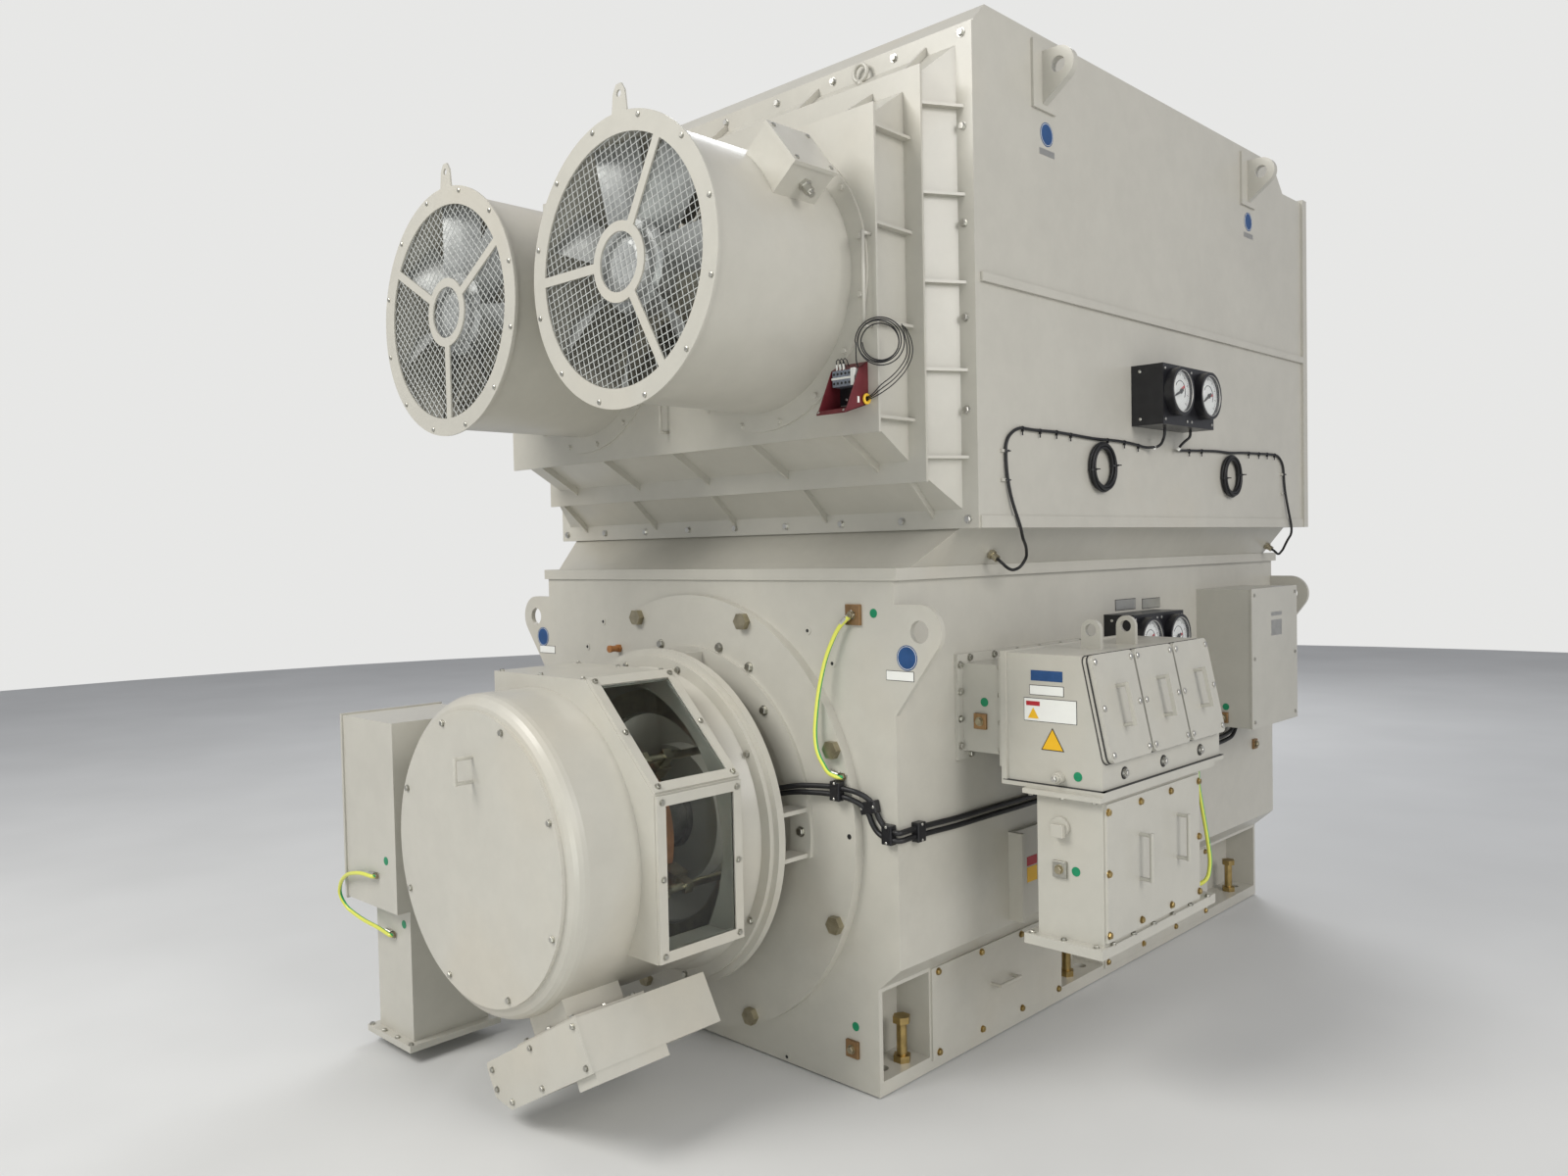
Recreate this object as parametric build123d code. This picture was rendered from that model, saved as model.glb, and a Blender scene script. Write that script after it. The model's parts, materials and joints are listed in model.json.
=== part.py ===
from build123d import *
import os
from math import asin, atan2, cos, degrees, hypot, pi, radians, sin, tan

os.makedirs("parts", exist_ok=True)

# A wound-rotor high-voltage induction motor with a top-mounted air-to-air cooler.
# X points to the main terminal box, Y along the shaft to the drive end, Z up. All sizes in mm.
# The origin is on the foot plane, below the shaft axis and the middle of the frame.

# Frame
SHAFT_HEIGHT = 710.0
FRAME_LENGTH = 2520.0
END_PLATE_T = 16.0
BODY_HALF_WIDTH = 789.0
FOOT_HALF_WIDTH = 711.0
FOOT_HEIGHT = 300.0
BODY_BASE = 370.0
BODY_TOP = 1423.0
TOP_FLANGE_T = 33.0
TOP_FLANGE_LIP = 14.0
TOP_OPENING_MARGIN = 110.0
SHEET_T = 12.0
PAN_HEIGHT = 100.0
LUG_OFFSET = 83.0
LUG_HEIGHT = 1288.0
LUG_RADIUS = 72.0
LUG_ROOT = 1060.0
LUG_HOLE_R = 30.0
CORE_PLATE_T = 20.0
CORE_PLATE_SPACING = 340.0

# Feet
RAIL_WIDTH = 131.0
RAIL_BASE_T = 40.0
RAIL_TOP_T = 10.0
POCKET_WIDTH_END = 210.0
POCKET_WIDTH_DE = 454.0
POCKET_MIDDLE = (-314.0, -40.0)
RAIL_POST = 20.0
FOOT_HOLE_X = 650.0
FOOT_HOLE_Y = 1180.0
FOOT_HOLE_MID_Y = -90.0
FOOT_HOLE_R = 21.0
JACK_X = 663.0
JACK_Y = 1102.0
JACK_MID_Y = -200.0
JACK_R = 15.0
JACK_HEAD_Z = 152.0
JACK_HEAD_AF = 46.0
JACK_HEAD_T = 19.0
COVER_T = 6.0
COVER_LAP = 12.0

# Stator and rotor
CORE_LENGTH = 1100.0
CORE_R = 560.0
AIR_GAP_R = 360.0
AIR_GAP = 8.0
END_WINDING = 210.0
END_WINDING_R = (385.0, 500.0)
ROTOR_WINDING = 150.0
ROTOR_WINDING_R = (240.0, 338.0)
SHAFT_CORE_R = 125.0
FAN_PLATE_R = 335.0
FAN_PLATE_OFFSET = 830.0
FAN_PLATE_T = 8.0
FAN_BLADE_DEPTH = 60.0
FAN_BLADES = 12
SEAT_GAP = 0.1

# Bearings, the non-drive end first
JOURNAL_R = (100.0, 110.0)
BEARING_R = (170.0, 180.0)
BEARING_WIDTH = 68.0
BEARING_INSET = 22.0
ROLLERS = 10
ROLLER_SIDES = 12
ROLLER_GAP = 0.05
HOUSING_FLANGE_R = 300.0
HOUSING_FLANGE_T = 35.0
HOUSING_NOSE_R = 210.0
HOUSING_NOSE = 95.0
HOUSING_DEPTH = 110.0
HOUSING_SPIGOT_R = 240.0
SHAFT_SEAL_GAP = 3.0

# End shields
SHIELD_R = 667.0
SHIELD_T = 31.0
SHIELD_SPIGOT_R = 600.0
SHIELD_SPIGOT = 14.0
SHIELD_BOLT_CIRCLE_R = 640.0
SHIELD_BOLTS = 8
SHIELD_BOLT_R = 15.0
SHIELD_BOLT_AF = 46.0
SHIELD_BOLT_HEAD = 20.0
SHIELD_RIBS = 8
HOLE_GAP = 0.3

# Shaft ends
SHAFT_END_R = 100.0
SHAFT_END_LENGTH = 350.0
SHAFT_END_SHOULDER = 1440.0
RING_SHAFT_R = 90.0
RING_SHAFT_END = 1872.0
KEY_WIDTH = 45.0
KEY_LENGTH = 300.0
KEY_DEPTH = 15.0

# Slip rings and brush gear
RING_R = 262.0
RING_WIDTH = 45.0
RING_PITCH = 80.0
RING_COUNT = 3
RING_CENTRE = 1700.0
RING_HUB_R = 190.0
BRUSH_GAP = 0.3
BRUSH_ARMS = (48.0, 108.0, -48.0, -108.0)
BRUSH_SIZE = (40.0, 32.0, 50.0)
HOLDER_WALL = 6.0
ARM_RADIUS = 11.0
ARM_CIRCLE_R = 352.0
ARM_RING_R = (318.0, 386.0)
ARM_RING_T = 14.0

# Slip-ring housing
LANTERN_REAR_T = 12.0
LANTERN_FRONT_T = 25.0
LANTERN_LENGTH = 139.0
LANTERN_R = 509.0
LANTERN_REAR_BORE_R = 430.0
LANTERN_FRONT_BORE_R = 400.0
LANTERN_SPAN = 98.0
LANTERN_RIB_T = 12.0
LANTERN_RIB_SPACING = 130.0
DRUM_R = 434.0
DRUM_SHEET = 8.0
DRUM_FLANGE_R = 490.0
DRUM_FLANGE_T = 16.0
DRUM_CONE_LENGTH = 62.0
DRUM_CONE_R = 448.0
DRUM_SHOULDER = 44.0
END_COVER_Y = 2066.0
END_COVER_T = 10.0
END_COVER_R = 394.0
END_COVER_BORE_R = 345.0
END_GRIP_REACH = 52.0
HOOD_FRONT = 1853.0
HOOD_BACK = 1559.0
HOOD_TOP = 1178.0
HOOD_TOP_HALF = 218.0
HOOD_SIDE = 490.0
HOOD_SHOULDER = 905.0
HOOD_BOTTOM = 477.0
WINDOW_MARGIN = 30.0
WINDOW_FRAME_T = 10.0
PANE_T = 5.0
PANE_LAP = 8.0

# Brush dust filter box, square to a radius of the drum
FILTER_ANGLE = 29.5
FILTER_TOP_R = 485.0
FILTER_DEPTH = 135.0
FILTER_X = (-298.0, 169.0)
FILTER_Y = (2030.0, 1610.0)
FILTER_NECK_HALF = 85.0
FILTER_NECK_Y = (2000.0, 1820.0)
FILTER_SHEET = 6.0
FILTER_CHAMFER = 62.0
FILTER_COVER_T = 6.0
FILTER_SPIGOT = 30.0
FILTER_SPIGOT_WIDTH = 90.0
FILTER_SPIGOT_Y = 1800.0

# Rotor terminal box on the far side of the drum
ROTOR_BOX_X = (-812.0, -500.0)
ROTOR_BOX_Y = (-2030.0, -1690.0)
ROTOR_BOX_Z = (447.0, 1020.0)
ROTOR_BOX_SHEET = 6.0
ROTOR_COVER_T = 10.0
ROTOR_NECK_Y = (-1830.0, -1720.0)
ROTOR_NECK_Z = (560.0, 860.0)
CABLE_DUCT_X = (-714.0, -506.0)
CABLE_DUCT_Y = (-1986.0, -1730.0)
CABLE_DUCT_BASE = 45.0
GLAND_PLATE_T = 14.0
GLAND_PLATE_LIP = 28.0

# Main terminal box
ADAPTER_Y = (-995.0, -300.0)
ADAPTER_Z = (905.0, 1205.0)
ADAPTER_DEPTH = 161.0
ADAPTER_FLANGE_T = 12.0
ADAPTER_FLANGE_LIP = 26.0
BOX_FLANGE_T = 16.0
BOX_Z = (860.0, 1219.0)
BOX_TOP_DEPTH = 400.0
BOX_DEPTH = 461.0
BOX_SLOPE_FOOT = 938.0
BOX_SHEET = 6.0
BOX_LIP = 9.0
BOX_LIP_T = 12.0
BOX_COVERS = 3
BOX_COVER_GAP = 10.0
BOX_COVER_T = 14.0
BOX_COVER_LENGTH = 282.0
BOX_COVER_MARGIN = 9.0
COAMING_T = 12.0
CABLE_BOX_INSET = 105.0
CABLE_BOX_LENGTH = 556.0
CABLE_BOX_BASE = 455.0
CABLE_BOX_FLANGE_T = 13.0
CABLE_BOX_FLANGE_LIP = 28.0
CABLE_COVER_T = 9.0
CABLE_COVER_MARGIN = (8.0, 24.0)
CABLE_COVER_HANDLES = ((0.33, 0.30), (0.74, 0.26))
CABLE_GLAND_T = 14.0
BUSHING_R = 34.0
BUSHING_LENGTH = 150.0
BUSHING_SIDES = 16
EYE_R = 30.0
EYE_HOLE_R = 17.0
EYE_T = 14.0
EYE_SHIFTS = (92.0, 62.0)

# Auxiliary terminal box
AUX_Y = (551.0, 975.0)
AUX_Z = (820.0, 1330.0)
AUX_DEPTH = 205.0
AUX_COVER_T = 6.0

# Space heater covers, low on both frame sides
HEATER_Y = (-733.0, -567.0)
HEATER_Z = (384.0, 650.0)
HEATER_T = 14.0

# Cooler
COOLER_HALF_WIDTH = 942.0
COOLER_BASE = 1559.0
COOLER_TOP = 2958.0
COOLER_FRONT = -1075.0
COOLER_BACK = 1190.0
COOLER_HEAD_BACK = 1012.0
COOLER_HEAD_DROP = 98.0
COOLER_FRONT_CHAMFER = 53.0
COOLER_SHEET = 5.0
COOLER_FLOOR_LIP = 92.0
MID_BAR_Z = 2218.0
MID_BAR = (10.0, 24.0)
SIDE_RAIL = (5.0, 33.0)
COLLAR_SHEET = 6.0
COLLAR_BASE_HALF = 800.0
COLLAR_TOP_HALF = 872.0
COLLAR_BASE_Y = (-1205.0, 1150.0)
COLLAR_TOP_Y = (-1072.0, 1180.0)
COLLAR_GLAND_Y = (-857.0, 1120.0)
COLLAR_GLAND_Z = 1489.0
COLLAR_GLAND_R = 9.0
COLLAR_GLAND_LENGTH = 30.0
OUTLET_FLANGE_T = 40.0
OUTLET_FLANGE_LIP = 10.0
OUTLET_FLANGE_W = 60.0
OUTLET_BARS = 3
OUTLET_BAR_W = 30.0
TUBE_SHEET_T = 12.0
TUBE_SHEET_Y = (-1000.0, 1000.0)
TUBE_R = 24.0
TUBE_SIDES = 16
TUBE_GRID = (7, 4)
TUBE_PITCH = (245.0, 290.0)
COOLER_LUG_Y = (-735.0, 673.0)
COOLER_LUG_Z = 2860.0
COOLER_LUG_REACH = 58.0
COOLER_LUG_R = 50.0
COOLER_LUG_T = 25.0
COOLER_LUG_HOLE_R = 22.0
COOLER_PAD = (120.0, 190.0, 8.0)

# Inlet hood: front flange, two stages with a flange between, and the fan plate
HOOD_FLANGE_T = 8.0
FRONT_FLANGE_TOP = 2900.0
FRONT_FLANGE_W = 56.0
MID_FLANGE_Y = -1195.0
MID_FLANGE_HALF = 855.0
MID_FLANGE_Z = (1684.0, 2780.0)
MID_FLANGE_W = 62.0
FAN_PLATE_Y = -1363.0
FAN_PLATE_HALF = 833.0
FAN_PLATE_Z = (1809.0, 2645.0)
FAN_PLATE_EDGE = 30.0
STAGE_RIB_T = 8.0
STAGE_RIB_PROUD = 24.0
STAGE1_FIN_X = (-790.0, -395.0, 0.0, 395.0, 790.0)
STAGE1_FIN_Z = (1750.0, 1983.0, 2216.0, 2449.0, 2682.0)
STAGE2_FIN_X = (-690.0, -345.0, 0.0, 345.0, 690.0)
STAGE2_FIN_Z = (1850.0, 2098.0, 2346.0, 2594.0)
STAGE_SHEET = 5.0

# Cooling fans
FAN_X = 412.0
FAN_Z = 2238.0
DUCT_R = 344.0
DUCT_SHEET = 6.0
DUCT_FRONT = -1856.0
DUCT_BASE_R = 397.0
DUCT_FLANGE_T = 8.0
GUARD_R = 366.0
GUARD_OPENING_R = 314.0
GUARD_HUB_R = (75.0, 101.0)
GUARD_T = 5.0
SPOKE_W = 25.0
SPOKES_RIGHT = (30.0, 150.0, 270.0)
SPOKES_LEFT = (60.0, 180.0, 300.0)
TAB_HEIGHT = 68.0
TAB_HALF = 31.0
FAN_HUB_R = 122.0
FAN_HUB_DEPTH = 78.0
FAN_HUB_FRONT = -1842.0
FAN_TIP_GAP = 8.0
FAN_BLADE_COUNT = 7
BLADE_CHORD = (112.0, 128.0)
BLADE_PITCH = (52.0, 28.0)
BLADE_T = (9.0, 5.0)
MOTOR_R = 118.0
MOTOR_LENGTH = 210.0
MOTOR_SHAFT_R = 19.0
MOTOR_GAP = 14.0
STRUT_T = 8.0
STRUT_W = 70.0
JUNCTION_ANGLE = 51.5
JUNCTION_SIZE = (150.0, 150.0, 92.0)
JUNCTION_Y = -1545.0

# Dial thermometers
GAUGE_W = 360.0
GAUGE_H = 190.0
GAUGE_D = 108.0
DIAL_R = 66.0
BEZEL_R = 76.0
BEZEL_PROUD = 30.0
DIAL_RECESS = 14.0
DIAL_SPACING = 202.0
PIN_R = 4.0
PIN_LENGTH = 9.0
POINTER_GAP = 0.05
POINTER_T = 2.5
POINTER_LENGTH = 52.0
POINTER_TAIL = 16.0
POINTER_ANGLES = (112.0, 118.0, 105.0, 115.0)
COOLER_GAUGE = (-230.0, 1880.0)
FRAME_GAUGE = (-145.0, 1082.0)

# Handles
CAPILLARY_R = 4.5
CABLE_R = 7.5
CABLE_STEP = 10.8
EARTH_R = 6.0
COIL_Y = (-435.0, 495.0)
COIL_Z = 1743.0
COIL_R = 66.0
COIL_SECTION_R = 12.0
GRIP_R = 6.0
GRIP_REACH = 34.0
GRIP_HALF = 52.0
LEG_STEP = 0.5

NDE = -FRAME_LENGTH / 2
DE = FRAME_LENGTH / 2
RAIL_INNER = FOOT_HALF_WIDTH - RAIL_WIDTH
FLANGE_TOP = BODY_TOP + TOP_FLANGE_T
AXIS = (0.0, SHAFT_HEIGHT)


def block(x0, x1, y0, y1, z0, z1):
    """A box between two corners."""
    centre = Pos((x0 + x1) / 2, (y0 + y1) / 2, (z0 + z1) / 2)
    return centre * Box(abs(x1 - x0), abs(y1 - y0), abs(z1 - z0))


def rod_x(radius, x0, x1, y, z):
    return Pos((x0 + x1) / 2, y, z) * Rot(0, 90, 0) * Cylinder(radius, abs(x1 - x0))


def rod_y(radius, y0, y1, centre=AXIS):
    return Pos(centre[0], (y0 + y1) / 2, centre[1]) * Rot(90, 0, 0) * Cylinder(radius, abs(y1 - y0))


def prism_y(radius, y0, y1, centre, sides):
    """A many-sided bar along Y, for round pieces that need few faces."""
    plane = Plane(origin=(centre[0], max(y0, y1), centre[1]), x_dir=(1, 0, 0), z_dir=(0, -1, 0))
    return extrude(plane * RegularPolygon(radius, sides), amount=abs(y1 - y0))


def rod_z(radius, z0, z1, x, y):
    return Pos(x, y, (z0 + z1) / 2) * Cylinder(radius, abs(z1 - z0))


def plate_xz(points, y0, y1):
    """An outline in X and Z, thick from one Y to another."""
    plane = Plane(origin=(0, max(y0, y1), 0), x_dir=(1, 0, 0), z_dir=(0, -1, 0))
    return extrude(plane * make_face(Polyline(*points, close=True)), amount=abs(y1 - y0))


def plate_yz(points, x0, x1):
    """An outline in Y and Z, thick from one X to another."""
    plane = Plane(origin=(min(x0, x1), 0, 0), x_dir=(0, 1, 0), z_dir=(1, 0, 0))
    return extrude(plane * make_face(Polyline(*points, close=True)), amount=abs(x1 - x0))


def turned(profile, centre=AXIS):
    """A profile of (y, radius) points turned about an axis along Y."""
    plane = Plane(origin=(centre[0], 0, centre[1]), x_dir=(0, 1, 0), z_dir=(1, 0, 0))
    face = plane * make_face(Polyline(*profile, close=True))
    return revolve(face, axis=Axis((centre[0], 0, centre[1]), (0, 1, 0)), revolution_arc=360)


def ring_y(outer, inner, y0, y1, centre=AXIS):
    return turned([(y0, inner), (y0, outer), (y1, outer), (y1, inner)], centre)


def swing(shape, angle, centre=AXIS):
    """Turn a shape about an axis along Y, clockwise as seen from the non-drive end."""
    return Pos(centre[0], 0, centre[1]) * Rot(0, angle, 0) * Pos(-centre[0], 0, -centre[1]) * shape


def both_sides(shape):
    """The shape and its mirror image on the other side of the shaft axis."""
    return [shape, mirror(shape, about=Plane.YZ)]


def fused(shapes):
    """One solid from shapes that touch or overlap."""
    total = shapes[0]
    for shape in shapes[1:]:
        total = total + shape
    return total


def rect_frame(half, z0, z1, width, y0, y1):
    """A flat rectangular flange round an opening."""
    outer = block(-half, half, y0, y1, z0, z1)
    return outer - block(-half + width, half - width, y0 - 1, y1 + 1, z0 + width, z1 - width)


def d_handle(x, y, z0, z1, reach, radius):
    """A welded bar handle that stands out along X."""
    grip = rod_z(radius, z0 - radius, z1 + radius, x + reach, y)
    return fused([grip] + [rod_x(radius - LEG_STEP, x, x + reach, y, z) for z in (z0, z1)])


def hex_bolt_y(radius, flats, head, length, y_face, outward, centre):
    """A hexagon bolt along Y whose head seats on the face at y_face."""
    plane = Plane(origin=(centre[0], y_face, centre[1]), x_dir=(1, 0, 0), z_dir=(0, outward, 0))
    top = extrude(plane * RegularPolygon(flats / 2, 6, major_radius=False), amount=head)
    return top + rod_y(radius, y_face - outward * length, y_face, centre)


def around(radius, angle, centre=AXIS):
    """The point at a radius and a clockwise angle from the top."""
    return (centre[0] + radius * sin(radians(angle)), centre[1] + radius * cos(radians(angle)))


def export(name, shapes):
    """Write one node from one or more separate solids."""
    solids = []
    for shape in shapes if isinstance(shapes, (list, tuple)) else [shapes]:
        solids.extend(shape.solids())
    node = solids[0] if len(solids) == 1 else Compound(children=solids)
    export_step(node, "parts/" + name + ".step")


# Frame

def lug_tangent(x, z, centre, radius):
    """Where the line from a point below touches the lug's round outline."""
    reach = hypot(centre[0] - x, centre[1] - z)
    direction = atan2(centre[1] - z, centre[0] - x) - asin(radius / reach)
    length = (reach ** 2 - radius ** 2) ** 0.5
    return (x + length * cos(direction), z + length * sin(direction))


def end_plate(y_outer, inward):
    """A frame end plate with its feet and lifting lugs in one outline."""
    y_inner = y_outer + inward * END_PLATE_T
    half = [(FOOT_HALF_WIDTH, 0), (FOOT_HALF_WIDTH, FOOT_HEIGHT), (BODY_HALF_WIDTH, BODY_BASE)]
    half.append((BODY_HALF_WIDTH, BODY_TOP))
    outline = half + [(-x, z) for x, z in reversed(half)]
    plate = plate_xz(outline, y_outer, y_inner)
    lug_centre = (BODY_HALF_WIDTH + LUG_OFFSET, LUG_HEIGHT)
    touch = lug_tangent(BODY_HALF_WIDTH, LUG_ROOT, lug_centre, LUG_RADIUS)
    root = BODY_HALF_WIDTH - LUG_OFFSET
    neck = [(root, LUG_ROOT), (BODY_HALF_WIDTH, LUG_ROOT), touch, lug_centre]
    neck += [(lug_centre[0], LUG_HEIGHT + LUG_RADIUS), (root, LUG_HEIGHT + LUG_RADIUS)]
    lug = plate_xz(neck, y_outer, y_inner) + rod_y(LUG_RADIUS, y_outer, y_inner, lug_centre)
    hole = rod_y(LUG_HOLE_R, min(y_outer, y_inner) - 1, max(y_outer, y_inner) + 1, lug_centre)
    for side in both_sides(lug):
        plate = plate + side
    for side in both_sides(hole):
        plate = plate - side
    low, high = min(y_outer, y_inner) - 1, max(y_outer, y_inner) + 1
    plate = plate - rod_y(SHIELD_SPIGOT_R, low, high)
    for bolt in range(SHIELD_BOLTS):
        place = around(SHIELD_BOLT_CIRCLE_R, (bolt + 0.5) * 360 / SHIELD_BOLTS)
        plate = plate - rod_y(SHIELD_BOLT_R + HOLE_GAP, low, high, place)
    return plate



def casing_span():
    return NDE + END_PLATE_T, DE - END_PLATE_T


def side_sheet():
    """One side of the casing, bent in at its foot to meet the foot rail."""
    y0, y1 = casing_span()
    upper, lower = BODY_HALF_WIDTH, FOOT_HALF_WIDTH
    outline = [(upper, BODY_TOP), (upper, BODY_BASE), (lower, FOOT_HEIGHT), (lower - SHEET_T, FOOT_HEIGHT)]
    outline += [(upper - SHEET_T, BODY_BASE), (upper - SHEET_T, BODY_TOP)]
    return plate_xz(outline, y0, y1)


def bottom_pan():
    """The folded pan that closes the casing between the foot rails."""
    y0, y1 = casing_span()
    half = [(RAIL_INNER, PAN_HEIGHT), (RAIL_INNER, FOOT_HEIGHT), (FOOT_HALF_WIDTH - SHEET_T, FOOT_HEIGHT)]
    half.append((FOOT_HALF_WIDTH - SHEET_T, FOOT_HEIGHT + SHEET_T))
    half += [(RAIL_INNER - SHEET_T, FOOT_HEIGHT + SHEET_T), (RAIL_INNER - SHEET_T, PAN_HEIGHT + SHEET_T)]
    return plate_xz(half + [(-x, z) for x, z in reversed(half)], y0, y1)


def core_plate(middle):
    """A frame plate that carries the stator core."""
    wall = BODY_HALF_WIDTH - SHEET_T
    run = (FOOT_HEIGHT + SHEET_T - BODY_BASE) * (BODY_HALF_WIDTH - FOOT_HALF_WIDTH)
    corner = wall + run / (BODY_BASE - FOOT_HEIGHT)
    half = [(wall, BODY_TOP), (wall, BODY_BASE), (corner, FOOT_HEIGHT + SHEET_T)]
    half += [(RAIL_INNER - SHEET_T, FOOT_HEIGHT + SHEET_T), (RAIL_INNER - SHEET_T, PAN_HEIGHT + SHEET_T)]
    low, high = middle - CORE_PLATE_T / 2, middle + CORE_PLATE_T / 2
    plate = plate_xz(half + [(-x, z) for x, z in reversed(half)], low, high)
    return plate - rod_y(CORE_R + SEAT_GAP, low - 1, high + 1)


def top_flange():
    """The open flange on top of the frame that carries the cooler."""
    lip = BODY_HALF_WIDTH + TOP_FLANGE_LIP
    flange = block(-lip, lip, NDE - TOP_FLANGE_LIP / 2, DE + TOP_FLANGE_LIP, BODY_TOP, FLANGE_TOP)
    gap = BODY_HALF_WIDTH - TOP_OPENING_MARGIN
    return flange - block(-gap, gap, NDE + TOP_OPENING_MARGIN, DE - TOP_OPENING_MARGIN,
                          BODY_TOP - 1, FLANGE_TOP + 1)


def foot_bays():
    """The open pockets and the covered bays of a foot rail, as pairs of Y limits."""
    first, last = casing_span()
    pockets = [(first, first + POCKET_WIDTH_END), POCKET_MIDDLE, (last - POCKET_WIDTH_DE, last)]
    bays = [(pockets[0][1] + RAIL_POST, pockets[1][0] - RAIL_POST)]
    bays.append((pockets[1][1] + RAIL_POST, pockets[2][0] - RAIL_POST))
    return pockets, bays


def jack_places():
    return [(JACK_X, -JACK_Y), (JACK_X, JACK_MID_Y), (JACK_X, JACK_Y)]


def foot_rail():
    """The welded plates of one foot rail: base, top, inner wall and posts, open at the pockets."""
    first, last = casing_span()
    low, high = RAIL_BASE_T, FOOT_HEIGHT - RAIL_TOP_T
    wall = RAIL_INNER + SHEET_T
    base = block(RAIL_INNER, FOOT_HALF_WIDTH, first, last, 0, low)
    for y in (-FOOT_HOLE_Y, FOOT_HOLE_MID_Y, FOOT_HOLE_Y):
        base = base - rod_z(FOOT_HOLE_R, -1, low + 1, FOOT_HOLE_X, y)
    for x, y in jack_places():
        base = base - rod_z(JACK_R + HOLE_GAP, -1, low + 1, x, y)
    top = block(RAIL_INNER, FOOT_HALF_WIDTH, first, last, high, FOOT_HEIGHT)
    inner = block(RAIL_INNER, wall, first, last, low, high)
    pockets, bays = foot_bays()
    spaces = sorted(pockets + bays)
    posts = [block(wall, FOOT_HALF_WIDTH, before[1], after[0], low, high)
             for before, after in zip(spaces, spaces[1:])]
    return [base, top, inner] + posts


def jacking_bolt(x, y):
    plane = Plane(origin=(x, y, JACK_HEAD_Z), x_dir=(1, 0, 0), z_dir=(0, 0, 1))
    head = extrude(plane * RegularPolygon(JACK_HEAD_AF / 2, 6, major_radius=False), amount=JACK_HEAD_T)
    nut_plane = Plane(origin=(x, y, RAIL_BASE_T), x_dir=(1, 0, 0), z_dir=(0, 0, 1))
    nut = extrude(nut_plane * RegularPolygon(JACK_HEAD_AF / 2, 6, major_radius=False), amount=JACK_HEAD_T)
    return head + nut + rod_z(JACK_R, 3, JACK_HEAD_Z, x, y)


def bay_cover(y0, y1):
    """The bolted cover of a foot bay, with its bar handle."""
    x = FOOT_HALF_WIDTH
    plate = block(x, x + COVER_T, y0 - COVER_LAP, y1 + COVER_LAP,
                  RAIL_BASE_T - COVER_LAP, FOOT_HEIGHT - RAIL_TOP_T + COVER_LAP / 2)
    middle = (y0 + y1) / 2
    z = (RAIL_BASE_T + FOOT_HEIGHT) / 2
    far = x + COVER_T + GRIP_REACH
    legs = [rod_x(GRIP_R - LEG_STEP, x + 1, far, middle + s * GRIP_HALF, z) for s in (-1, 1)]
    bar = rod_y(GRIP_R, middle - GRIP_HALF - GRIP_R, middle + GRIP_HALF + GRIP_R, (far, z))
    return fused([plate, bar] + legs)


def heater_cover():
    """The cover over a space heater's opening, with a raised rim."""
    x = BODY_HALF_WIDTH
    plate = block(x, x + HEATER_T, HEATER_Y[0], HEATER_Y[1], HEATER_Z[0], HEATER_Z[1])
    return plate + block(x, x + HEATER_T + GRIP_REACH, HEATER_Y[0], HEATER_Y[0] + HEATER_T,
                         HEATER_Z[0], HEATER_Z[1])


# Stator and rotor

def winding_head(y_start, outward):
    """The coil overhang of one stator end."""
    inner, outer = END_WINDING_R
    far = y_start + outward * END_WINDING
    mid = y_start + outward * END_WINDING * 0.7
    return turned([(y_start, inner), (y_start, outer), (mid, outer + 12), (far, outer - 18),
                   (far, inner + 40), (mid, inner + 22)])


def rotor_winding_head(y_start, outward):
    inner, outer = ROTOR_WINDING_R
    far = y_start + outward * ROTOR_WINDING
    return turned([(y_start, inner), (y_start, outer), (far, outer - 10), (far, inner + 10)])


def shaft():
    """The stepped shaft with its keyway at the drive end."""
    core = CORE_LENGTH / 2 + 320
    nde_journal = -NDE + SHIELD_T + HOUSING_NOSE + 15
    profile = [(-RING_SHAFT_END, 0), (-RING_SHAFT_END, RING_SHAFT_R), (-nde_journal, RING_SHAFT_R)]
    profile += [(-nde_journal, JOURNAL_R[0]), (-core, JOURNAL_R[0]), (-core, SHAFT_CORE_R)]
    profile += [(core, SHAFT_CORE_R), (core, JOURNAL_R[1]), (SHAFT_END_SHOULDER, JOURNAL_R[1])]
    end = SHAFT_END_SHOULDER + SHAFT_END_LENGTH
    profile += [(SHAFT_END_SHOULDER, SHAFT_END_R), (end - 4, SHAFT_END_R), (end, SHAFT_END_R - 4), (end, 0)]
    body = turned(profile)
    return body - keyway()


def keyway():
    """The slot for the key, open at the top of the shaft end."""
    start = SHAFT_END_SHOULDER + (SHAFT_END_LENGTH - KEY_LENGTH) / 2
    floor = SHAFT_HEIGHT + SHAFT_END_R - KEY_DEPTH
    return block(-KEY_WIDTH / 2, KEY_WIDTH / 2, start, start + KEY_LENGTH, floor, floor + SHAFT_END_R)


def shaft_fan(side):
    """An internal radial fan: a plate on the shaft with straight blades towards the winding."""
    y = side * FAN_PLATE_OFFSET
    back = y + side * FAN_PLATE_T
    hub = ring_y(SHAFT_CORE_R + 40, SHAFT_CORE_R + SEAT_GAP, y - side * FAN_BLADE_DEPTH / 2, back)
    plate = ring_y(FAN_PLATE_R, SHAFT_CORE_R + 30, y, back)
    fan = hub + plate
    for index in range(FAN_BLADES):
        y_low, y_high = sorted((y - side * FAN_BLADE_DEPTH, y + side))
        blade = block(-4, 4, y_low, y_high, SHAFT_HEIGHT + SHAFT_CORE_R + 60, SHAFT_HEIGHT + FAN_PLATE_R)
        fan = fan + swing(blade, index * 360 / FAN_BLADES)
    return fan


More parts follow.
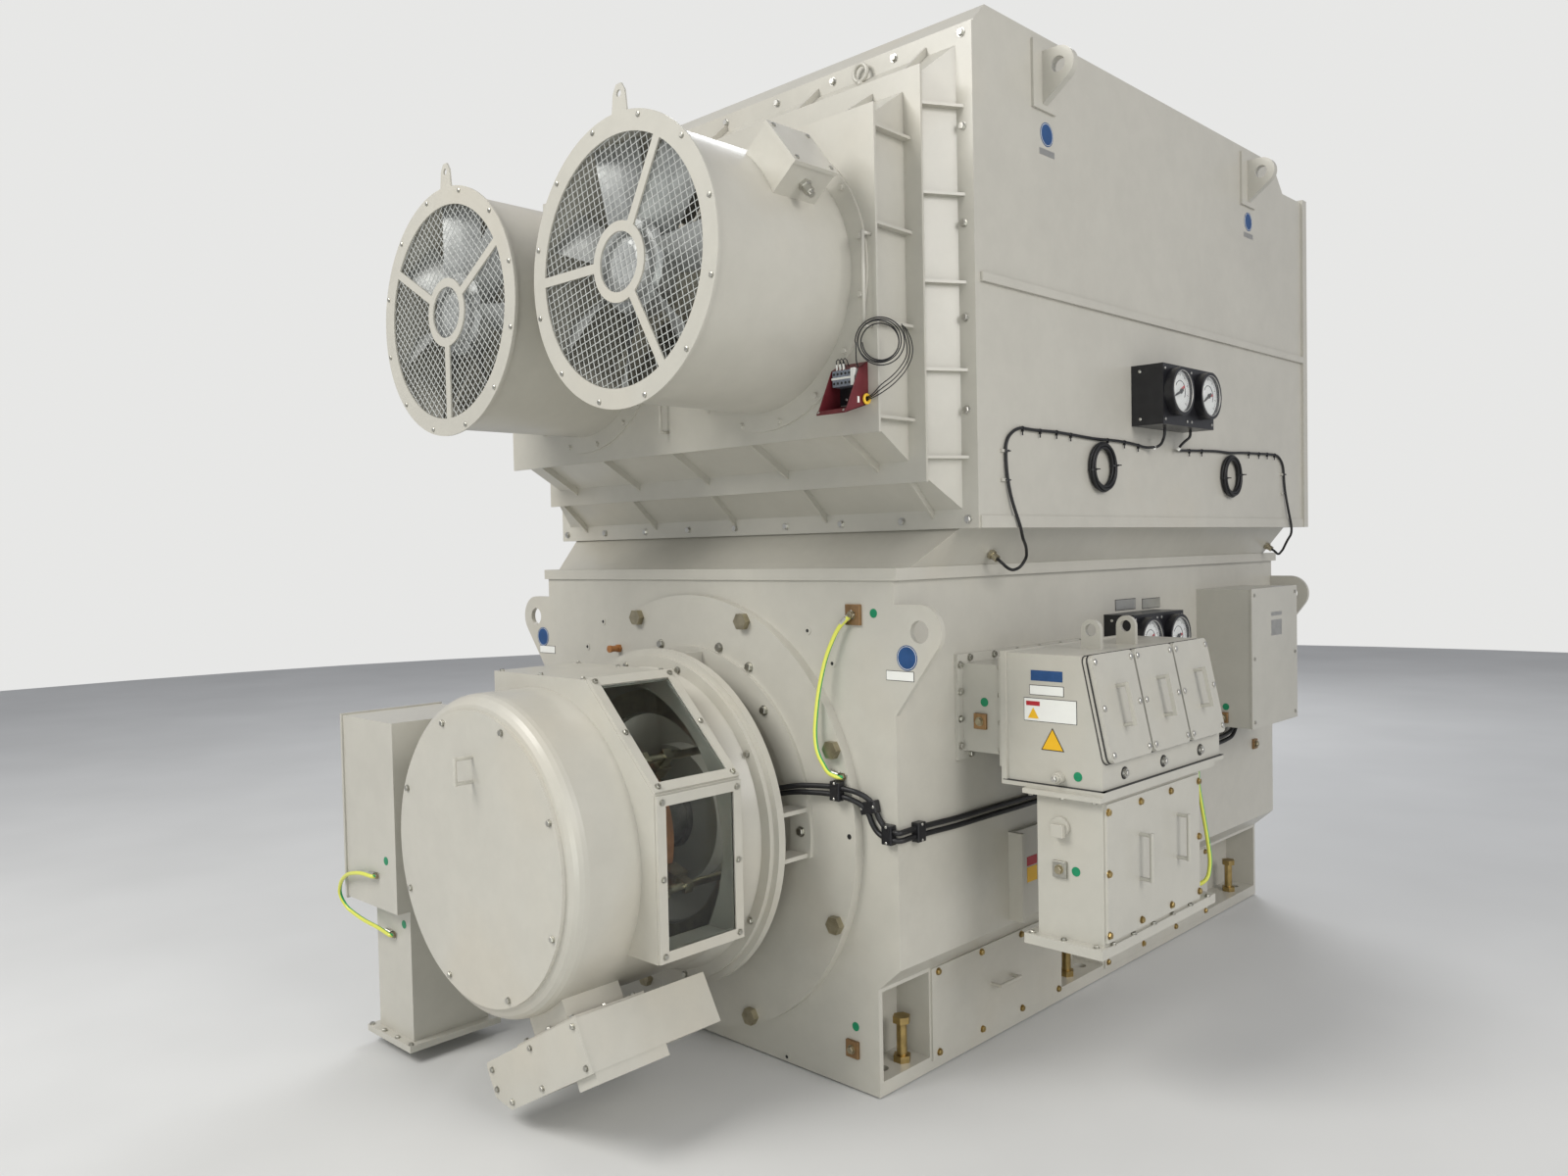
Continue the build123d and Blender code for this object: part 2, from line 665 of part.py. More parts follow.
# Bearings and end shields

def bearing_span(end):
    """The Y limits of the bearing at one end, -1 for the non-drive end."""
    face = end * (DE + SHIELD_T)
    return face - end * (BEARING_INSET + BEARING_WIDTH), face - end * BEARING_INSET


def bearing_sizes(end):
    which = 0 if end < 0 else 1
    journal, outside = JOURNAL_R[which], BEARING_R[which]
    roller = (outside - journal) * 0.22
    return journal, outside, (journal + outside) / 2, roller


def bearing_housing(end):
    """The flanged cartridge that carries the bearing in the end shield."""
    journal, outside, _, _ = bearing_sizes(end)
    face = end * (DE + SHIELD_T)
    outline = [(-HOUSING_DEPTH, HOUSING_SPIGOT_R - SEAT_GAP), (0, HOUSING_SPIGOT_R - SEAT_GAP)]
    outline += [(0, HOUSING_FLANGE_R), (HOUSING_FLANGE_T, HOUSING_FLANGE_R)]
    outline += [(HOUSING_FLANGE_T, HOUSING_NOSE_R), (HOUSING_NOSE, HOUSING_NOSE_R)]
    outline += [(HOUSING_NOSE, journal + SHAFT_SEAL_GAP), (HOUSING_NOSE - 20, journal + SHAFT_SEAL_GAP)]
    outline += [(HOUSING_NOSE - 20, journal + 25), (-BEARING_INSET, journal + 25)]
    outline += [(-BEARING_INSET, outside + SEAT_GAP), (-HOUSING_DEPTH, outside + SEAT_GAP)]
    return turned([(face + end * s, r) for s, r in outline])


def bearing_outer_ring(end):
    _, outside, pitch, roller = bearing_sizes(end)
    y0, y1 = bearing_span(end)
    return ring_y(outside, pitch + roller + ROLLER_GAP, y0, y1)


def bearing_inner_ring(end):
    """The inner ring with its caged rollers."""
    journal, _, pitch, roller = bearing_sizes(end)
    y0, y1 = bearing_span(end)
    margin = BEARING_WIDTH * 0.14
    low, high = min(y0, y1) + margin, max(y0, y1) - margin
    ring = ring_y(pitch - roller * 0.9, journal + ROLLER_GAP, y0, y1)
    for index in range(ROLLERS):
        ring = ring + prism_y(roller, low, high, around(pitch, index * 360 / ROLLERS), ROLLER_SIDES)
    return ring


def end_shield(end):
    """The round end shield with its spigot, bearing bore and inner ribs."""
    face = end * DE
    inner = face - end * SHIELD_SPIGOT
    outer = face + end * SHIELD_T
    shield = ring_y(SHIELD_R, HOUSING_SPIGOT_R, face, outer)
    shield = shield + ring_y(SHIELD_SPIGOT_R - HOLE_GAP, HOUSING_SPIGOT_R, inner, face)
    hub_end = face - end * (HOUSING_DEPTH - SHIELD_T)
    shield = shield + ring_y(HOUSING_SPIGOT_R + 34, HOUSING_SPIGOT_R, hub_end, face)
    for index in range(SHIELD_RIBS):
        rib = block(-9, 9, min(hub_end, inner), max(hub_end, inner),
                    SHAFT_HEIGHT + HOUSING_SPIGOT_R + 20, SHAFT_HEIGHT + SHIELD_SPIGOT_R - 12)
        shield = shield + swing(rib, index * 360 / SHIELD_RIBS)
    for bolt in range(SHIELD_BOLTS):
        place = around(SHIELD_BOLT_CIRCLE_R, (bolt + 0.5) * 360 / SHIELD_BOLTS)
        low, high = sorted((face, outer))
        shield = shield - rod_y(SHIELD_BOLT_R + HOLE_GAP, low - 1, high + 1, place)
    return shield


def shield_bolts(end):
    bolts = []
    for index in range(SHIELD_BOLTS):
        place = around(SHIELD_BOLT_CIRCLE_R, (index + 0.5) * 360 / SHIELD_BOLTS)
        bolts.append(hex_bolt_y(SHIELD_BOLT_R, SHIELD_BOLT_AF, SHIELD_BOLT_HEAD,
                                SHIELD_T + END_PLATE_T, end * (DE + SHIELD_T), end, place))
    return bolts


# Slip rings and their housing

def ring_places():
    """The middle Y of each slip ring, from the housing's end cover inwards."""
    first = -RING_CENTRE - RING_PITCH * (RING_COUNT - 1) / 2
    return [first + index * RING_PITCH for index in range(RING_COUNT)]


def slip_ring_hub():
    places = ring_places()
    margin = RING_PITCH / 2 + 12
    hub = ring_y(RING_HUB_R, RING_SHAFT_R + SEAT_GAP, places[0] - margin, places[-1] + margin)
    for y in places:
        groove = ring_y(RING_HUB_R + 1, RING_HUB_R - 14, y - RING_WIDTH / 2, y + RING_WIDTH / 2)
        hub = hub - groove
    return hub


def slip_rings():
    inner = RING_HUB_R - 14 + SEAT_GAP
    width = RING_WIDTH / 2 - SEAT_GAP
    return [ring_y(RING_R, inner, y - width, y + width) for y in ring_places()]


def brush_ring_y():
    """The front face of the brush carrier ring, seated on the drum's flange."""
    return NDE - SHIELD_T - LANTERN_LENGTH - DRUM_FLANGE_T - ARM_RING_T


def brush_gear():
    """The carrier ring with its arms, and a holder on each arm for each slip ring."""
    carrier_y = brush_ring_y()
    ring = ring_y(ARM_RING_R[1], ARM_RING_R[0], carrier_y, carrier_y + ARM_RING_T)
    end = ring_places()[0] - RING_WIDTH
    for angle in BRUSH_ARMS:
        arm = rod_y(ARM_RADIUS, end, carrier_y + 1, around(ARM_CIRCLE_R, 0))
        ring = ring + swing(arm, angle)
        for y in ring_places():
            ring = ring + swing(brush_holder(y), angle)
    return ring


def brush_space(y, wall):
    """The block of a brush at the top of a ring, with a wall round it."""
    length, width, depth = BRUSH_SIZE
    foot = SHAFT_HEIGHT + RING_R + BRUSH_GAP
    start = foot + (0 if wall == 0 else 8)
    return block(-width / 2 - wall, width / 2 + wall, y - length / 2 - wall, y + length / 2 + wall,
                 start, foot + depth + wall * 2)


def brush_holder(y):
    foot = SHAFT_HEIGHT + RING_R + BRUSH_GAP
    top = foot + BRUSH_SIZE[2] + HOLDER_WALL * 2
    clamp = block(-ARM_RADIUS - 4, ARM_RADIUS + 4, y - 14, y + 14, top - 2,
                  SHAFT_HEIGHT + ARM_CIRCLE_R + ARM_RADIUS + 4)
    return (brush_space(y, HOLDER_WALL) - brush_space(y, 0)) + clamp


def brushes():
    return [swing(brush_space(y, 0), angle) for angle in BRUSH_ARMS for y in ring_places()]


def lantern():
    """The spacer between the end shield and the slip-ring housing, open between its ribs."""
    rear = NDE - SHIELD_T
    front = rear - LANTERN_LENGTH
    rear_ring = ring_y(LANTERN_R, LANTERN_REAR_BORE_R, rear - LANTERN_REAR_T, rear)
    spread = LANTERN_R * 2
    cut_z = SHAFT_HEIGHT + LANTERN_R * cos(radians(LANTERN_SPAN))
    rear_ring = rear_ring - block(-spread, spread, rear - LANTERN_REAR_T - 1, rear + 1, 0, cut_z)
    total = rear_ring + ring_y(LANTERN_R, LANTERN_FRONT_BORE_R, front, front + LANTERN_FRONT_T)
    for angle in (0, 90, -90):
        for offset_x in (-LANTERN_RIB_SPACING / 2, LANTERN_RIB_SPACING / 2):
            rib = block(offset_x - LANTERN_RIB_T / 2, offset_x + LANTERN_RIB_T / 2, front + 1, rear - 1,
                        SHAFT_HEIGHT + LANTERN_REAR_BORE_R, SHAFT_HEIGHT + LANTERN_R - 14)
            total = total + swing(rib, angle)
    return total


def drum_outline(skin):
    """The drum's section, as (y, radius) points, moved inwards by a skin thickness."""
    back = NDE - SHIELD_T - LANTERN_LENGTH
    front = -END_COVER_Y + END_COVER_T
    shoulder = front + DRUM_SHOULDER
    points = [(back - DRUM_CONE_LENGTH, DRUM_R - skin), (shoulder, DRUM_R - skin)]
    for step in range(1, 6):
        angle = radians(step * 90 / 5)
        across = (END_COVER_R - DRUM_R) * (1 - cos(angle))
        points.append((shoulder - (DRUM_SHOULDER - skin) * sin(angle), DRUM_R - skin + across))
    return back, points


def hood_outline(skin):
    """The window hood's outline in X and Z, moved inwards by a skin thickness."""
    slope = atan2(HOOD_TOP - HOOD_SHOULDER, HOOD_SIDE - HOOD_TOP_HALF)
    shift = skin * tan(slope / 2)
    upright = skin * tan((pi / 2 - slope) / 2)
    right = [(HOOD_TOP_HALF - shift, HOOD_TOP - skin), (HOOD_SIDE - skin, HOOD_SHOULDER - upright)]
    right.append((HOOD_SIDE - skin, HOOD_BOTTOM + skin))
    return right + [(0, HOOD_BOTTOM + skin), (0, SHAFT_HEIGHT), (-HOOD_TOP_HALF + skin, SHAFT_HEIGHT),
                    (-HOOD_TOP_HALF + skin, HOOD_TOP - skin)]


def window_plane(tilted):
    """A plane on a window face: origin at its middle, X along the frame, Y up the face."""
    y = -(HOOD_FRONT + HOOD_BACK) / 2
    if tilted:
        slope = atan2(HOOD_TOP - HOOD_SHOULDER, HOOD_SIDE - HOOD_TOP_HALF)
        origin = ((HOOD_SIDE + HOOD_TOP_HALF) / 2, y, (HOOD_TOP + HOOD_SHOULDER) / 2)
        return Plane(origin=origin, x_dir=(0, 1, 0), z_dir=(sin(slope), 0, cos(slope)))
    origin = (HOOD_SIDE, y, (HOOD_SHOULDER + HOOD_BOTTOM) / 2)
    return Plane(origin=origin, x_dir=(0, 1, 0), z_dir=(1, 0, 0))


def window_height(tilted):
    if tilted:
        return hypot(HOOD_TOP - HOOD_SHOULDER, HOOD_SIDE - HOOD_TOP_HALF)
    return HOOD_SHOULDER - HOOD_BOTTOM


def window_plate(tilted, margin, bottom, top):
    """A rectangle on a window face with a margin to its edges, between two heights above it."""
    width = HOOD_FRONT - HOOD_BACK - 2 * margin
    height = window_height(tilted) - 2 * margin
    face = window_plane(tilted).offset(bottom) * Rectangle(width, height)
    return extrude(face, amount=top - bottom)


def window_frame(tilted):
    frame = window_plate(tilted, 2, 0, WINDOW_FRAME_T)
    frame = frame - window_plate(tilted, WINDOW_MARGIN, -1, WINDOW_FRAME_T + 1)
    return frame - window_plate(tilted, WINDOW_MARGIN - PANE_LAP, -1, PANE_T + SEAT_GAP)


def window_pane(tilted):
    return window_plate(tilted, WINDOW_MARGIN - PANE_LAP + SEAT_GAP * 3, 0, PANE_T)


def slip_ring_housing():
    """The drum with its window hood, filter neck and cable neck, as one sheet shell."""
    back, outside = drum_outline(0)
    flare = [(back, DRUM_CONE_R), (back - DRUM_FLANGE_T, DRUM_CONE_R + 8)]
    body = turned([(outside[-1][0], 0)] + list(reversed(outside)) + [(flare[1][0], DRUM_CONE_R + 8),
                                                                      (flare[1][0], DRUM_FLANGE_R),
                                                                      (back, DRUM_FLANGE_R), (back, 0)])
    body = body + plate_xz(hood_outline(0), -HOOD_FRONT, -HOOD_BACK)
    body = body + filter_neck(0)
    body = body + rotor_neck(0)
    _, inside = drum_outline(DRUM_SHEET)
    front = -END_COVER_Y + END_COVER_T
    hollow = [(front + DRUM_SHEET, 0), (front + DRUM_SHEET, END_COVER_BORE_R)]
    hollow += [(y, r) for y, r in reversed(inside[:-1])]
    hollow += [(back - DRUM_FLANGE_T, DRUM_CONE_R), (back - DRUM_FLANGE_T, 0)]
    body = body - turned(hollow)
    body = body - rod_y(END_COVER_BORE_R, front - 1, front + DRUM_SHEET + 1)
    body = body - rod_y(ARM_RING_R[0] - 6, back - DRUM_FLANGE_T - 1, back + 1)
    body = body - plate_xz(hood_outline(DRUM_SHEET), -HOOD_FRONT + DRUM_SHEET, -HOOD_BACK - DRUM_SHEET)
    body = body - filter_neck(FILTER_SHEET)
    body = body - rotor_neck(ROTOR_BOX_SHEET)
    for tilted in (False, True):
        body = body - window_plate(tilted, WINDOW_MARGIN, -DRUM_SHEET - 2, 2)
    return body


def filter_neck(skin):
    """The neck from the drum to the filter box, or with a skin the space inside it."""
    half = FILTER_NECK_HALF - skin
    low = SHAFT_HEIGHT - FILTER_TOP_R - (1 if skin else 0)
    high = SHAFT_HEIGHT - DRUM_R + (60 if skin else 30)
    y0, y1 = -FILTER_NECK_Y[0] + skin, -FILTER_NECK_Y[1] - skin
    return swing(block(-half, half, y0, y1, low, high), -FILTER_ANGLE)


def rotor_neck(skin):
    """The neck from the drum to the rotor terminal box, or with a skin the space inside it."""
    x0 = ROTOR_BOX_X[1] - (1 if skin else 0)
    reach = (DRUM_R ** 2 - (ROTOR_NECK_Z[1] - SHAFT_HEIGHT) ** 2) ** 0.5
    x1 = -reach + (60 if skin else 30)
    return block(x0, x1, ROTOR_NECK_Y[0] + skin, ROTOR_NECK_Y[1] - skin,
                 ROTOR_NECK_Z[0] + skin, ROTOR_NECK_Z[1] - skin)


def housing_end_cover():
    """The round end cover with its welded handle."""
    front = -END_COVER_Y
    cover = rod_y(END_COVER_R, front, front + END_COVER_T)
    top, low = SHAFT_HEIGHT + 270, SHAFT_HEIGHT + 205
    legs = [rod_y(GRIP_R - LEG_STEP, front - END_GRIP_REACH, front + 1, (0, z)) for z in (low, top)]
    return fused([cover, rod_z(GRIP_R, low - GRIP_R, top + GRIP_R, 0, front - END_GRIP_REACH)] + legs)


def filter_outline(inset):
    x0, x1 = FILTER_X[0] + inset, FILTER_X[1] - inset
    top = SHAFT_HEIGHT - FILTER_TOP_R - inset
    low = SHAFT_HEIGHT - FILTER_TOP_R - FILTER_DEPTH + inset
    return [(x0, top - 8), (x0 + 8, top), (x1, top), (x1, low), (x0 + FILTER_CHAMFER, low),
            (x0, low + FILTER_CHAMFER * 0.75)]


def filter_box():
    """The brush dust filter box, hung square to a radius of the drum."""
    y0, y1 = -FILTER_Y[0], -FILTER_Y[1]
    box = plate_xz(filter_outline(0), y0, y1)
    low = SHAFT_HEIGHT - FILTER_TOP_R - FILTER_DEPTH
    box = box + block(FILTER_X[1] - FILTER_SPIGOT_WIDTH, FILTER_X[1] - 2, y0 + 4, -FILTER_SPIGOT_Y,
                      low - FILTER_SPIGOT, low + 2)
    box = box - plate_xz(filter_outline(FILTER_SHEET), y0 - 1, y1 - FILTER_SHEET)
    half = FILTER_NECK_HALF - FILTER_SHEET
    top = SHAFT_HEIGHT - FILTER_TOP_R
    box = box - block(-half, half, -FILTER_NECK_Y[0] + FILTER_SHEET, -FILTER_NECK_Y[1] - FILTER_SHEET,
                      top - FILTER_SHEET - 1, top + 1)
    return swing(box, -FILTER_ANGLE)


def filter_cover():
    y0 = -FILTER_Y[0]
    return swing(plate_xz(filter_outline(-2), y0 - FILTER_COVER_T, y0), -FILTER_ANGLE)


# Rotor terminal box

def rotor_terminal_box():
    x0, x1 = ROTOR_BOX_X
    y0, y1 = ROTOR_BOX_Y
    z0, z1 = ROTOR_BOX_Z
    t = ROTOR_BOX_SHEET
    box = block(x0, x1, y0, y1, z0, z1)
    box = box - block(x0 - 1, x1 - t, y0 + t, y1 - t, z0 + t, z1 - t)
    box = box - block(x1 - t - 1, x1 + 1, ROTOR_NECK_Y[0] + t, ROTOR_NECK_Y[1] - t,
                      ROTOR_NECK_Z[0] + t, ROTOR_NECK_Z[1] - t)
    return box - block(CABLE_DUCT_X[0] + t, CABLE_DUCT_X[1] - t, CABLE_DUCT_Y[0] + t,
                       CABLE_DUCT_Y[1] - t, z0 - 1, z0 + t + 1)


def rotor_box_cover():
    x0 = ROTOR_BOX_X[0]
    lip = 5
    return block(x0 - ROTOR_COVER_T, x0, ROTOR_BOX_Y[0] - lip, ROTOR_BOX_Y[1] + lip,
                 ROTOR_BOX_Z[0] - lip, ROTOR_BOX_Z[1] + lip)


def rotor_cable_duct():
    """The cable riser below the rotor terminal box, open at both ends, with its base flange."""
    x0, x1 = CABLE_DUCT_X
    y0, y1 = CABLE_DUCT_Y
    t = ROTOR_BOX_SHEET
    lip = GLAND_PLATE_LIP
    duct = block(x0, x1, y0, y1, CABLE_DUCT_BASE, ROTOR_BOX_Z[0])
    duct = duct + block(x0 - lip, x1 + lip, y0 - lip, y1 + lip, CABLE_DUCT_BASE, CABLE_DUCT_BASE + t)
    return duct - block(x0 + t, x1 - t, y0 + t, y1 - t, CABLE_DUCT_BASE - 1, ROTOR_BOX_Z[0] + 1)


def rotor_gland_plate():
    lip = GLAND_PLATE_LIP
    return block(CABLE_DUCT_X[0] - lip, CABLE_DUCT_X[1] + lip, CABLE_DUCT_Y[0] - lip,
                 CABLE_DUCT_Y[1] + lip, CABLE_DUCT_BASE - GLAND_PLATE_T, CABLE_DUCT_BASE)


# Main terminal box

def terminal_adapter():
    """The flanged throat between the frame side and the main terminal box."""
    x0 = BODY_HALF_WIDTH
    x1 = x0 + ADAPTER_DEPTH
    y0, y1 = ADAPTER_Y
    z0, z1 = ADAPTER_Z
    lip, t = ADAPTER_FLANGE_LIP, ADAPTER_FLANGE_T
    throat = block(x0, x1, y0 + lip, y1 - lip, z0 + lip, z1 - lip)
    throat = throat + block(x0, x0 + t, y0, y1, z0, z1) + block(x1 - t, x1, y0, y1, z0, z1)
    return throat - block(x0 - 1, x1 + 1, y0 + lip + BOX_SHEET, y1 - lip - BOX_SHEET,
                          z0 + lip + BOX_SHEET, z1 - lip - BOX_SHEET)


def box_outline(inset):
    """The main box's side outline: flat top, sloping front, short upright and flat bottom."""
    x0 = BODY_HALF_WIDTH + ADAPTER_DEPTH + BOX_FLANGE_T
    x_top = BODY_HALF_WIDTH + BOX_TOP_DEPTH
    x_low = BODY_HALF_WIDTH + BOX_DEPTH
    z0, z1 = BOX_Z
    slope = atan2(x_low - x_top, z1 - BOX_SLOPE_FOOT)
    shift = inset * tan((pi / 2 - slope) / 2)
    return [(x0, z1 - inset), (x_top - shift, z1 - inset),
            (x_low - inset, BOX_SLOPE_FOOT - inset * tan(slope / 2)), (x_low - inset, z0 + inset),
            (x0, z0 + inset)]


def slope_plane():
    """A plane on the box's sloping face: origin at its middle, X along the shaft, Y up the face."""
    points = box_outline(0)
    (xa, za), (xb, zb) = points[1], points[2]
    length = hypot(xb - xa, za - zb)
    origin = ((xa + xb) / 2, (ADAPTER_Y[0] + ADAPTER_Y[1]) / 2, (za + zb) / 2)
    return Plane(origin=origin, x_dir=(0, 1, 0), z_dir=((za - zb) / length, 0, (xb - xa) / length))


def slope_plate(y_centre, width, height, bottom, top, corner):
    """A plate on the sloping face, between two heights above it."""
    middle = (ADAPTER_Y[0] + ADAPTER_Y[1]) / 2
    shape = Pos(y_centre - middle, 0) * Rectangle(width, height)
    if corner:
        shape = fillet(shape.vertices(), corner)
    return extrude(slope_plane().offset(bottom) * shape, amount=top - bottom)


def cover_places():
    """The middle Y of each sloping cover, and the width of one."""
    y0, y1 = ADAPTER_Y[0] + BOX_COVER_MARGIN, ADAPTER_Y[1] - BOX_COVER_MARGIN
    width = (y1 - y0 - (BOX_COVERS - 1) * BOX_COVER_GAP) / BOX_COVERS
    return [y0 + width / 2 + index * (width + BOX_COVER_GAP) for index in range(BOX_COVERS)], width


def main_terminal_box():
    y0, y1 = ADAPTER_Y
    x_back = BODY_HALF_WIDTH + ADAPTER_DEPTH
    x_front = BODY_HALF_WIDTH + BOX_DEPTH
    x0 = x_back + BOX_FLANGE_T
    box = plate_xz(box_outline(0), y0, y1)
    box = box + block(x_back, x0, y0 - BOX_LIP, y1 + BOX_LIP, BOX_Z[0], BOX_Z[1] + BOX_LIP / 2)
    box = box + block(x0, x_front + BOX_LIP, y0 - BOX_LIP, y1 + BOX_LIP, BOX_Z[0], BOX_Z[0] + BOX_LIP_T)
    places, width = cover_places()
    coaming_length = y1 - y0 - BOX_COVER_MARGIN
    middle = (y0 + y1) / 2
    box = box + slope_plate(middle, coaming_length, BOX_COVER_LENGTH, -2, COAMING_T, 18)
    inner = [(x, z) for x, z in box_outline(BOX_SHEET)]
    box = box - plate_xz(inner, y0 + BOX_SHEET, y1 - BOX_SHEET)
    for y in places:
        box = box - slope_plate(y, width - 50, BOX_COVER_LENGTH - 60, -BOX_SHEET - 2, COAMING_T + 1, 0)
    lip = ADAPTER_FLANGE_LIP + BOX_SHEET
    box = box - block(x_back - 1, x0 + 1, y0 + lip, y1 - lip, ADAPTER_Z[0] + lip, ADAPTER_Z[1] - lip)
    box = box - cable_throat(BOX_Z[0] - 1, BOX_Z[0] + BOX_LIP_T + 1)
    return fused([box] + [lifting_eye(places[index] + shift) for index, shift in enumerate(EYE_SHIFTS)])


def cable_throat(z0, z1):
    """The opening between the main box and the cable box below it."""
    inner_x0 = BODY_HALF_WIDTH + ADAPTER_DEPTH + CABLE_BOX_INSET + BOX_SHEET
    inner_x1 = BODY_HALF_WIDTH + BOX_DEPTH - BOX_SHEET
    y0 = ADAPTER_Y[0] + BOX_SHEET
    y1 = ADAPTER_Y[0] + CABLE_BOX_LENGTH - BOX_SHEET
    return block(inner_x0, inner_x1, y0, y1, z0, z1)


def slope_cover(y_centre, width):
    """One bolted cover of the sloping face, with its upright handle."""
    plate = slope_plate(y_centre, width, BOX_COVER_LENGTH, COAMING_T, COAMING_T + BOX_COVER_T, 18)
    top = COAMING_T + BOX_COVER_T
    middle = (ADAPTER_Y[0] + ADAPTER_Y[1]) / 2
    plane = slope_plane().offset(top - 1)
    feet = [extrude(plane * Pos(y_centre - middle - 10, s * GRIP_HALF) * Circle(GRIP_R - LEG_STEP),
                    amount=GRIP_REACH) for s in (-1, 1)]
    bar_plane = slope_plane().offset(top - 1 + GRIP_REACH - GRIP_R)
    bar_shape = Rectangle(2 * GRIP_R, 2 * (GRIP_HALF + GRIP_R))
    bar = extrude(bar_plane * Pos(y_centre - middle - 10, 0) * bar_shape, amount=2 * GRIP_R)
    return fused([plate, bar] + feet)


def lifting_eye(y):
    """A welded eye on top of the main box."""
    x = BODY_HALF_WIDTH + BOX_TOP_DEPTH - 84
    base = BOX_Z[1] - BOX_SHEET / 2
    centre = (x, BOX_Z[1] + EYE_R + 22)
    eye = rod_y(EYE_R, y - EYE_T / 2, y + EYE_T / 2, centre)
    eye = eye + block(x - EYE_R, x + EYE_R, y - EYE_T / 2, y + EYE_T / 2, base, centre[1])
    return eye - rod_y(EYE_HOLE_R, y - EYE_T, y + EYE_T, centre)


def phase_bushing(y):
    """A ribbed post insulator that stands on the box floor and carries a terminal stud."""
    x = BODY_HALF_WIDTH + ADAPTER_DEPTH + 62
    base = BOX_Z[0] + BOX_SHEET
    steps = [(BUSHING_R - 10, 0, BUSHING_LENGTH - 10), (10, BUSHING_LENGTH - 11, BUSHING_LENGTH + 50)]
    steps += [(BUSHING_R + 8, 18 + 38 * shed, 42 + 38 * shed) for shed in range(3)]
    parts = []
    for radius, low, high in steps:
        plane = Plane(origin=(x, y, base + low))
        parts.append(extrude(plane * RegularPolygon(radius, BUSHING_SIDES), amount=high - low))
    return fused(parts)


def cable_box_limits():
    x0 = BODY_HALF_WIDTH + ADAPTER_DEPTH + CABLE_BOX_INSET
    return x0, BODY_HALF_WIDTH + BOX_DEPTH, ADAPTER_Y[0], ADAPTER_Y[0] + CABLE_BOX_LENGTH


def main_cable_box():
    """The lower cable box with its top and bottom flanges and side opening."""
    x0, x1, y0, y1 = cable_box_limits()
    t, lip, flange = BOX_SHEET, CABLE_BOX_FLANGE_LIP, CABLE_BOX_FLANGE_T
    top = BOX_Z[0]
    box = block(x0, x1, y0, y1, CABLE_BOX_BASE, top)
    for z in (CABLE_BOX_BASE, top - flange):
        box = box + block(x0 - lip, x1 + BOX_LIP, y0 - lip, y1 + lip * 3, z, z + flange)
    box = box - block(x0 + t, x1 - t, y0 + t, y1 - t, CABLE_BOX_BASE - 1, top + 1)
    low, high = cable_cover_z()
    return box - block(x1 - t - 1, x1 + 1, y0 + 30, y1 - 40, low + 25, high - 25)


def cable_cover_z():
    return CABLE_BOX_BASE + CABLE_COVER_MARGIN[1], BOX_Z[0] - CABLE_BOX_FLANGE_T - CABLE_COVER_MARGIN[0]


def cable_box_cover():
    """The bolted cover of the cable box with two upright handles."""
    _, x1, y0, y1 = cable_box_limits()
    low, high = cable_cover_z()
    plate = block(x1, x1 + CABLE_COVER_T, y0 + 4, y1 - 18, low, high)
    width = y1 - y0 - 22
    shapes = [plate]
    for share, drop in CABLE_COVER_HANDLES:
        z1 = high - (high - low) * drop
        shapes.append(d_handle(x1 + CABLE_COVER_T - 1, y0 + 4 + width * share, z1 - 120, z1,
                               GRIP_REACH, GRIP_R))
    return fused(shapes)


def cable_gland_plate():
    x0, x1, y0, y1 = cable_box_limits()
    lip = CABLE_BOX_FLANGE_LIP
    return block(x0 - lip, x1 + BOX_LIP, y0 - lip, y1 + lip * 3, CABLE_BOX_BASE - CABLE_GLAND_T,
                 CABLE_BOX_BASE)


def aux_terminal_box():
    x0, x1 = BODY_HALF_WIDTH, BODY_HALF_WIDTH + AUX_DEPTH
    box = block(x0, x1, AUX_Y[0], AUX_Y[1], AUX_Z[0], AUX_Z[1])
    t = 3
    return box - block(x0 + t, x1 + 1, AUX_Y[0] + t, AUX_Y[1] - t, AUX_Z[0] + t, AUX_Z[1] - t)


def aux_box_cover():
    x1 = BODY_HALF_WIDTH + AUX_DEPTH
    return block(x1, x1 + AUX_COVER_T, AUX_Y[0] - 2, AUX_Y[1] + 2, AUX_Z[0] - 2, AUX_Z[1] + 2)


# Cooler

def loft_shell(bottom, top, z0, z1, skin):
    """A flared rectangular duct between two rectangles, given as (half width, y0, y1)."""
    solids = []
    for inset, extra in ((0, 0), (skin, 1)):
        faces = []
        for (half, y0, y1), z in ((bottom, z0 - extra), (top, z1 + extra)):
            plane = Plane(origin=(0, (y0 + y1) / 2, z))
            faces.append(plane * Rectangle(2 * (half - inset), y1 - y0 - 2 * inset))
        solids.append(loft(faces, ruled=True))
    return solids[0] - solids[1]


def cooler_collar():
    """The flared collar between the frame's top flange and the cooler, with its two sensor glands."""
    bottom = (COLLAR_BASE_HALF, COLLAR_BASE_Y[0], COLLAR_BASE_Y[1])
    top = (COLLAR_TOP_HALF, COLLAR_TOP_Y[0], COLLAR_TOP_Y[1])
    collar = loft_shell(bottom, top, FLANGE_TOP, COOLER_BASE, COLLAR_SHEET)
    return fused([collar] + [collar_gland(y) for y in COLLAR_GLAND_Y])


def collar_normal():
    """The outward direction of the collar's side, leaning down because the collar flares."""
    rise, flare = COOLER_BASE - FLANGE_TOP, COLLAR_TOP_HALF - COLLAR_BASE_HALF
    return Vector(rise, 0, -flare).normalized()


